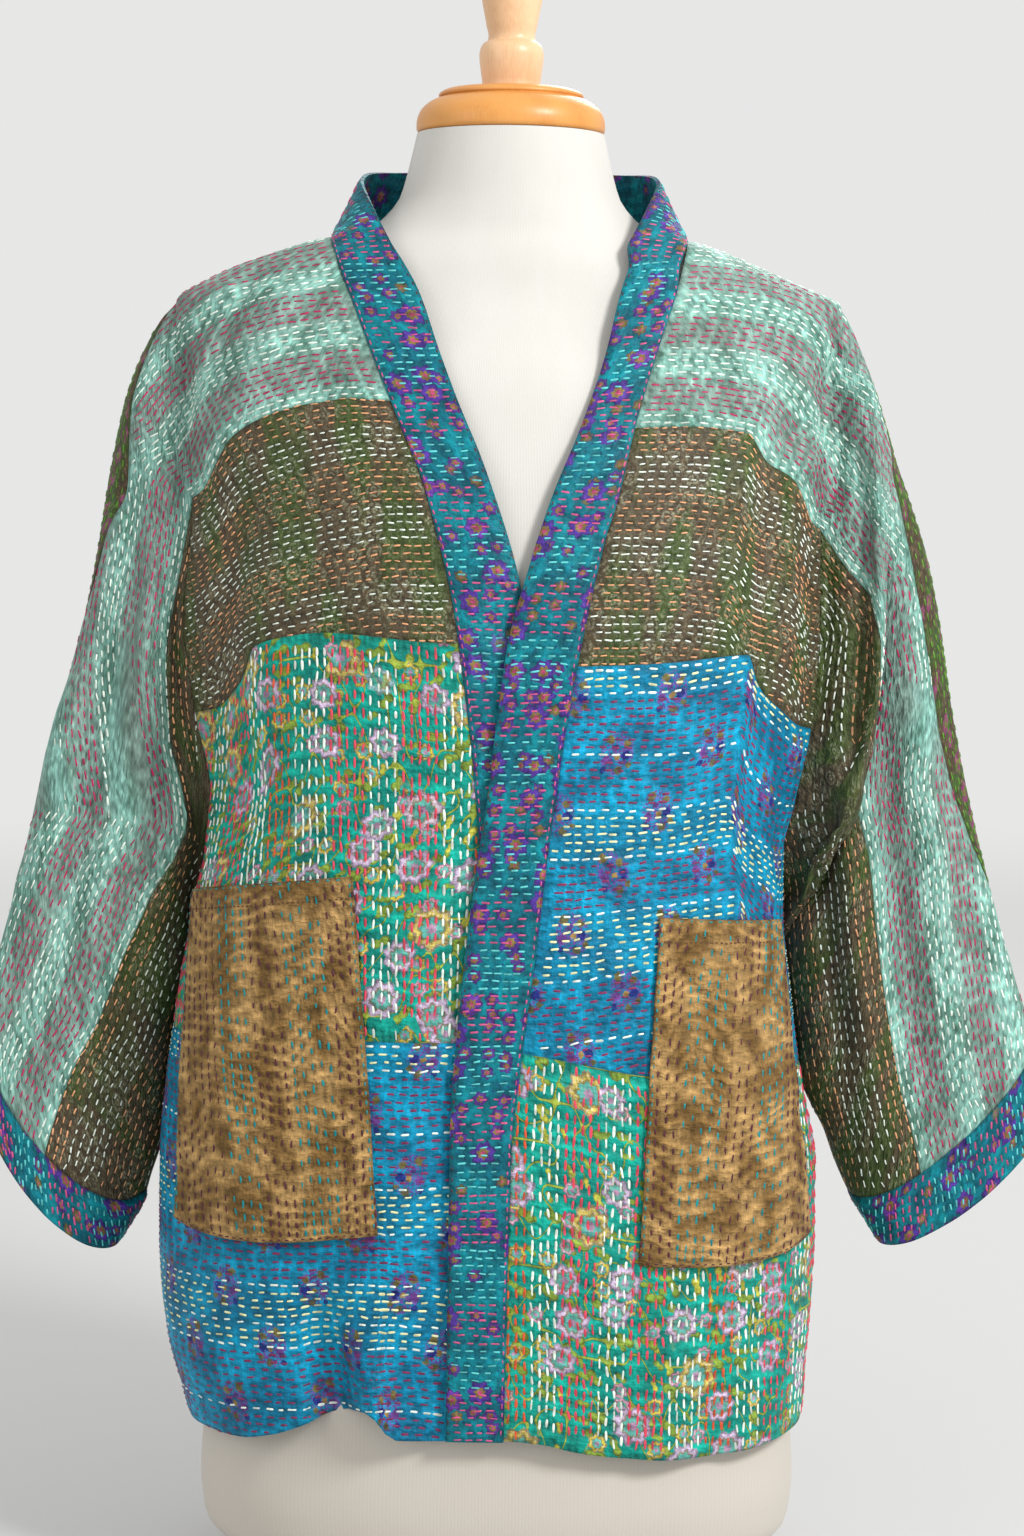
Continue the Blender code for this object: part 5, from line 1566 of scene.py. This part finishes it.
def ring_points(half, front, back, square, z, segments=FORM_POINTS):
    angle = np.linspace(0, TURN, segments, endpoint=False)
    c, s = np.cos(angle), np.sin(angle)
    x = half * np.sign(c) * np.abs(c) ** (2 / square)
    y = np.where(s > 0, back, front) * np.sign(s) * np.abs(s) ** (2 / square)
    return np.stack([x, y, np.full_like(x, z)], -1)


def form_rings():
    """The form's level sections, as the part has them."""
    rings = []
    for z in np.concatenate([FORM["height"][:FORM_FOOT_RINGS], np.linspace(*FORM_RINGS)]):
        sizes = (look_up(FORM, name, z) for name in ("half", "front", "back", "square"))
        rings.append(ring_points(*sizes, z))
    for z in SHOULDER_RINGS:
        half = min(section(side, FRONT, z + FORM_CLEAR)[0] for side in (LEFT, RIGHT))
        sink = SHOULDER_SINK * (1 - ease(*SHOULDER_SINK_FADE, z))
        depths = (section(LEFT, face, z + FORM_CLEAR)[1] - FORM_DEPTH_CLEAR - sink for face in (FRONT, BACK))
        rings.append(ring_points(half - (FORM_CLEAR + SHOULDER_SINK), *depths, SHOULDER_SQUARE, z))
    for z, half, front, back in FORM_NECK:
        rings.append(ring_points(half, front, back, 2.0, z))
    return np.array(rings)


def solid_of_rings(name, rings, material, slot, node):
    """A closed smooth body through level rings."""
    rows, count = rings.shape[:2]
    grid = np.arange(rows * count).reshape(rows, count)
    a, b = grid[:-1], grid[1:]
    quads = np.stack([a, np.roll(a, -1, 1), np.roll(b, -1, 1), b], -1).reshape(-1, 4)
    mesh = bpy.data.meshes.new(name)
    faces = [*quads.tolist(), grid[0][::-1].tolist(), grid[-1].tolist()]
    mesh.from_pydata((rings.reshape(-1, 3) * MM).tolist(), [], faces)
    mesh.shade_smooth()
    mesh.set_sharp_from_angle(angle=math.radians(50))
    mesh.materials.append(material)
    piece = add_piece(name, mesh, slot)
    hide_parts(node)
    return piece


def turned(name, profile, material, slot, node):
    """A turned piece: rings along a smooth curve through its profile."""
    fine = resample(np.array(profile, float)[:, None, :], TURNED_STEP)[:, 0]
    rings = [ring_points(max(radius, 0.5), radius, radius, 2.0, z, TURNED_POINTS) for radius, z in fine]
    solid_of_rings(name, np.array(rings), material, slot, node)


def build_form():
    rings = resample(form_rings(), FORM_LEVEL_STEP)
    body = solid_of_rings("form_linen", rings, linen(), "cream_linen", "form_body")
    maple = wood("maple_wood", (214, 150, 78), (198, 130, 60))
    pale = wood("pale_turned_wood", (230, 192, 152), (210, 164, 120))
    turned("turned_neck_cap", CAP_SHAPE, maple, "maple", "neck_cap")
    turned("turned_neck_finial", FINIAL_SHAPE, pale, "pale_wood", "neck_finial")
    base = bpy.data.objects["form_base"]
    base.data.materials.clear()
    base.data.materials.append(wood("base_wood", (226, 190, 140), (204, 160, 108)))


# The photograph's camera: place in metres, tilts in degrees, and an 80 mm lens on a 36 mm high frame
CAMERA_PLACE = (0.0049, -2.05, 0.653)
CAMERA_DOWN, CAMERA_ROLL = 4.657, 0.63
CAMERA_LENS, FRAME_HEIGHT = 80.0, 36.0
BACKDROP, FLOOR = (0.80, 0.80, 0.795), (0.56, 0.56, 0.556)
FLOOR_RADIUS, FLOOR_FADE, FLOOR_DROP, FLOOR_POINTS = 6.0, (1.2, 5.0), 0.0005, 128


def build_camera():
    data = bpy.data.cameras.new("camera")
    data.sensor_fit = "VERTICAL"
    data.sensor_height = FRAME_HEIGHT
    data.lens = CAMERA_LENS
    camera = bpy.data.objects.new("camera", data)
    camera.location = CAMERA_PLACE
    camera.rotation_euler = (math.radians(90 - CAMERA_DOWN), 0, 0)
    camera.rotation_euler.rotate_axis("Z", math.radians(CAMERA_ROLL))
    bpy.context.scene.collection.objects.link(camera)
    bpy.context.scene.camera = camera


def area_light(name, place, aim_height, size, power):
    data = bpy.data.lights.new(name, "AREA")
    data.shape = "DISK"
    data.size = size
    data.energy = power
    light = bpy.data.objects.new(name, data)
    light.location = place
    direction = np.array([0, 0, aim_height]) - np.array(place)
    yaw = math.atan2(direction[1], direction[0])
    pitch = math.asin(direction[2] / np.linalg.norm(direction))
    light.rotation_euler = (math.pi / 2 + pitch, 0, yaw - math.pi / 2)
    bpy.context.scene.collection.objects.link(light)


def build_stage():
    world = bpy.data.worlds.new("studio")
    bpy.context.scene.world = world
    world.use_nodes = True
    background = world.node_tree.nodes["Background"]
    join(world.node_tree, background, (("Color", (*BACKDROP, 1)), ("Strength", 1.0)))
    mesh = bpy.data.meshes.new("floor")
    angle = np.linspace(0, TURN, FLOOR_POINTS, endpoint=False)
    x, y = FLOOR_RADIUS * np.cos(angle), FLOOR_RADIUS * np.sin(angle)
    rim = np.stack([x, y, 0 * angle - FLOOR_DROP], -1)
    mesh.from_pydata(rim.tolist(), [], [tuple(range(len(rim)))])
    flow = Flow("floor_paper", roughness=0.9, specular=0.1)
    flow.shader.inputs["Base Color"].default_value = (*FLOOR, 1)
    x, y, _ = flow.object_place()
    paper = flow.out(flow.shader, 0)
    clear = flow.out(flow.node("ShaderNodeBsdfTransparent"), 0)
    fading = flow.node("ShaderNodeMixShader", [(0, root(x, y).step(*FLOOR_FADE)), (1, paper), (2, clear)])
    join(flow.tree, flow.tree.nodes["Material Output"], [("Surface", flow.out(fading, 0))])
    mesh.materials.append(flow.material)
    floor = bpy.data.objects.new("floor", mesh)
    bpy.context.scene.collection.objects.link(floor)
    floor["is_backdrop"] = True
    area_light("key", (1.9, -1.9, 2.3), 0.45, 0.8, 92)
    area_light("fill", (-2.1, -1.7, 1.5), 0.45, 1.4, 8)
    area_light("back", (0.6, 2.4, 2.2), 0.5, 1.2, 26)
    bpy.context.scene.view_settings.view_transform = "Standard"


build_form()
build_jacket()
build_camera()
build_stage()

[[list(map(float, corner)) for corner in box] for box in (cad_box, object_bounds())]
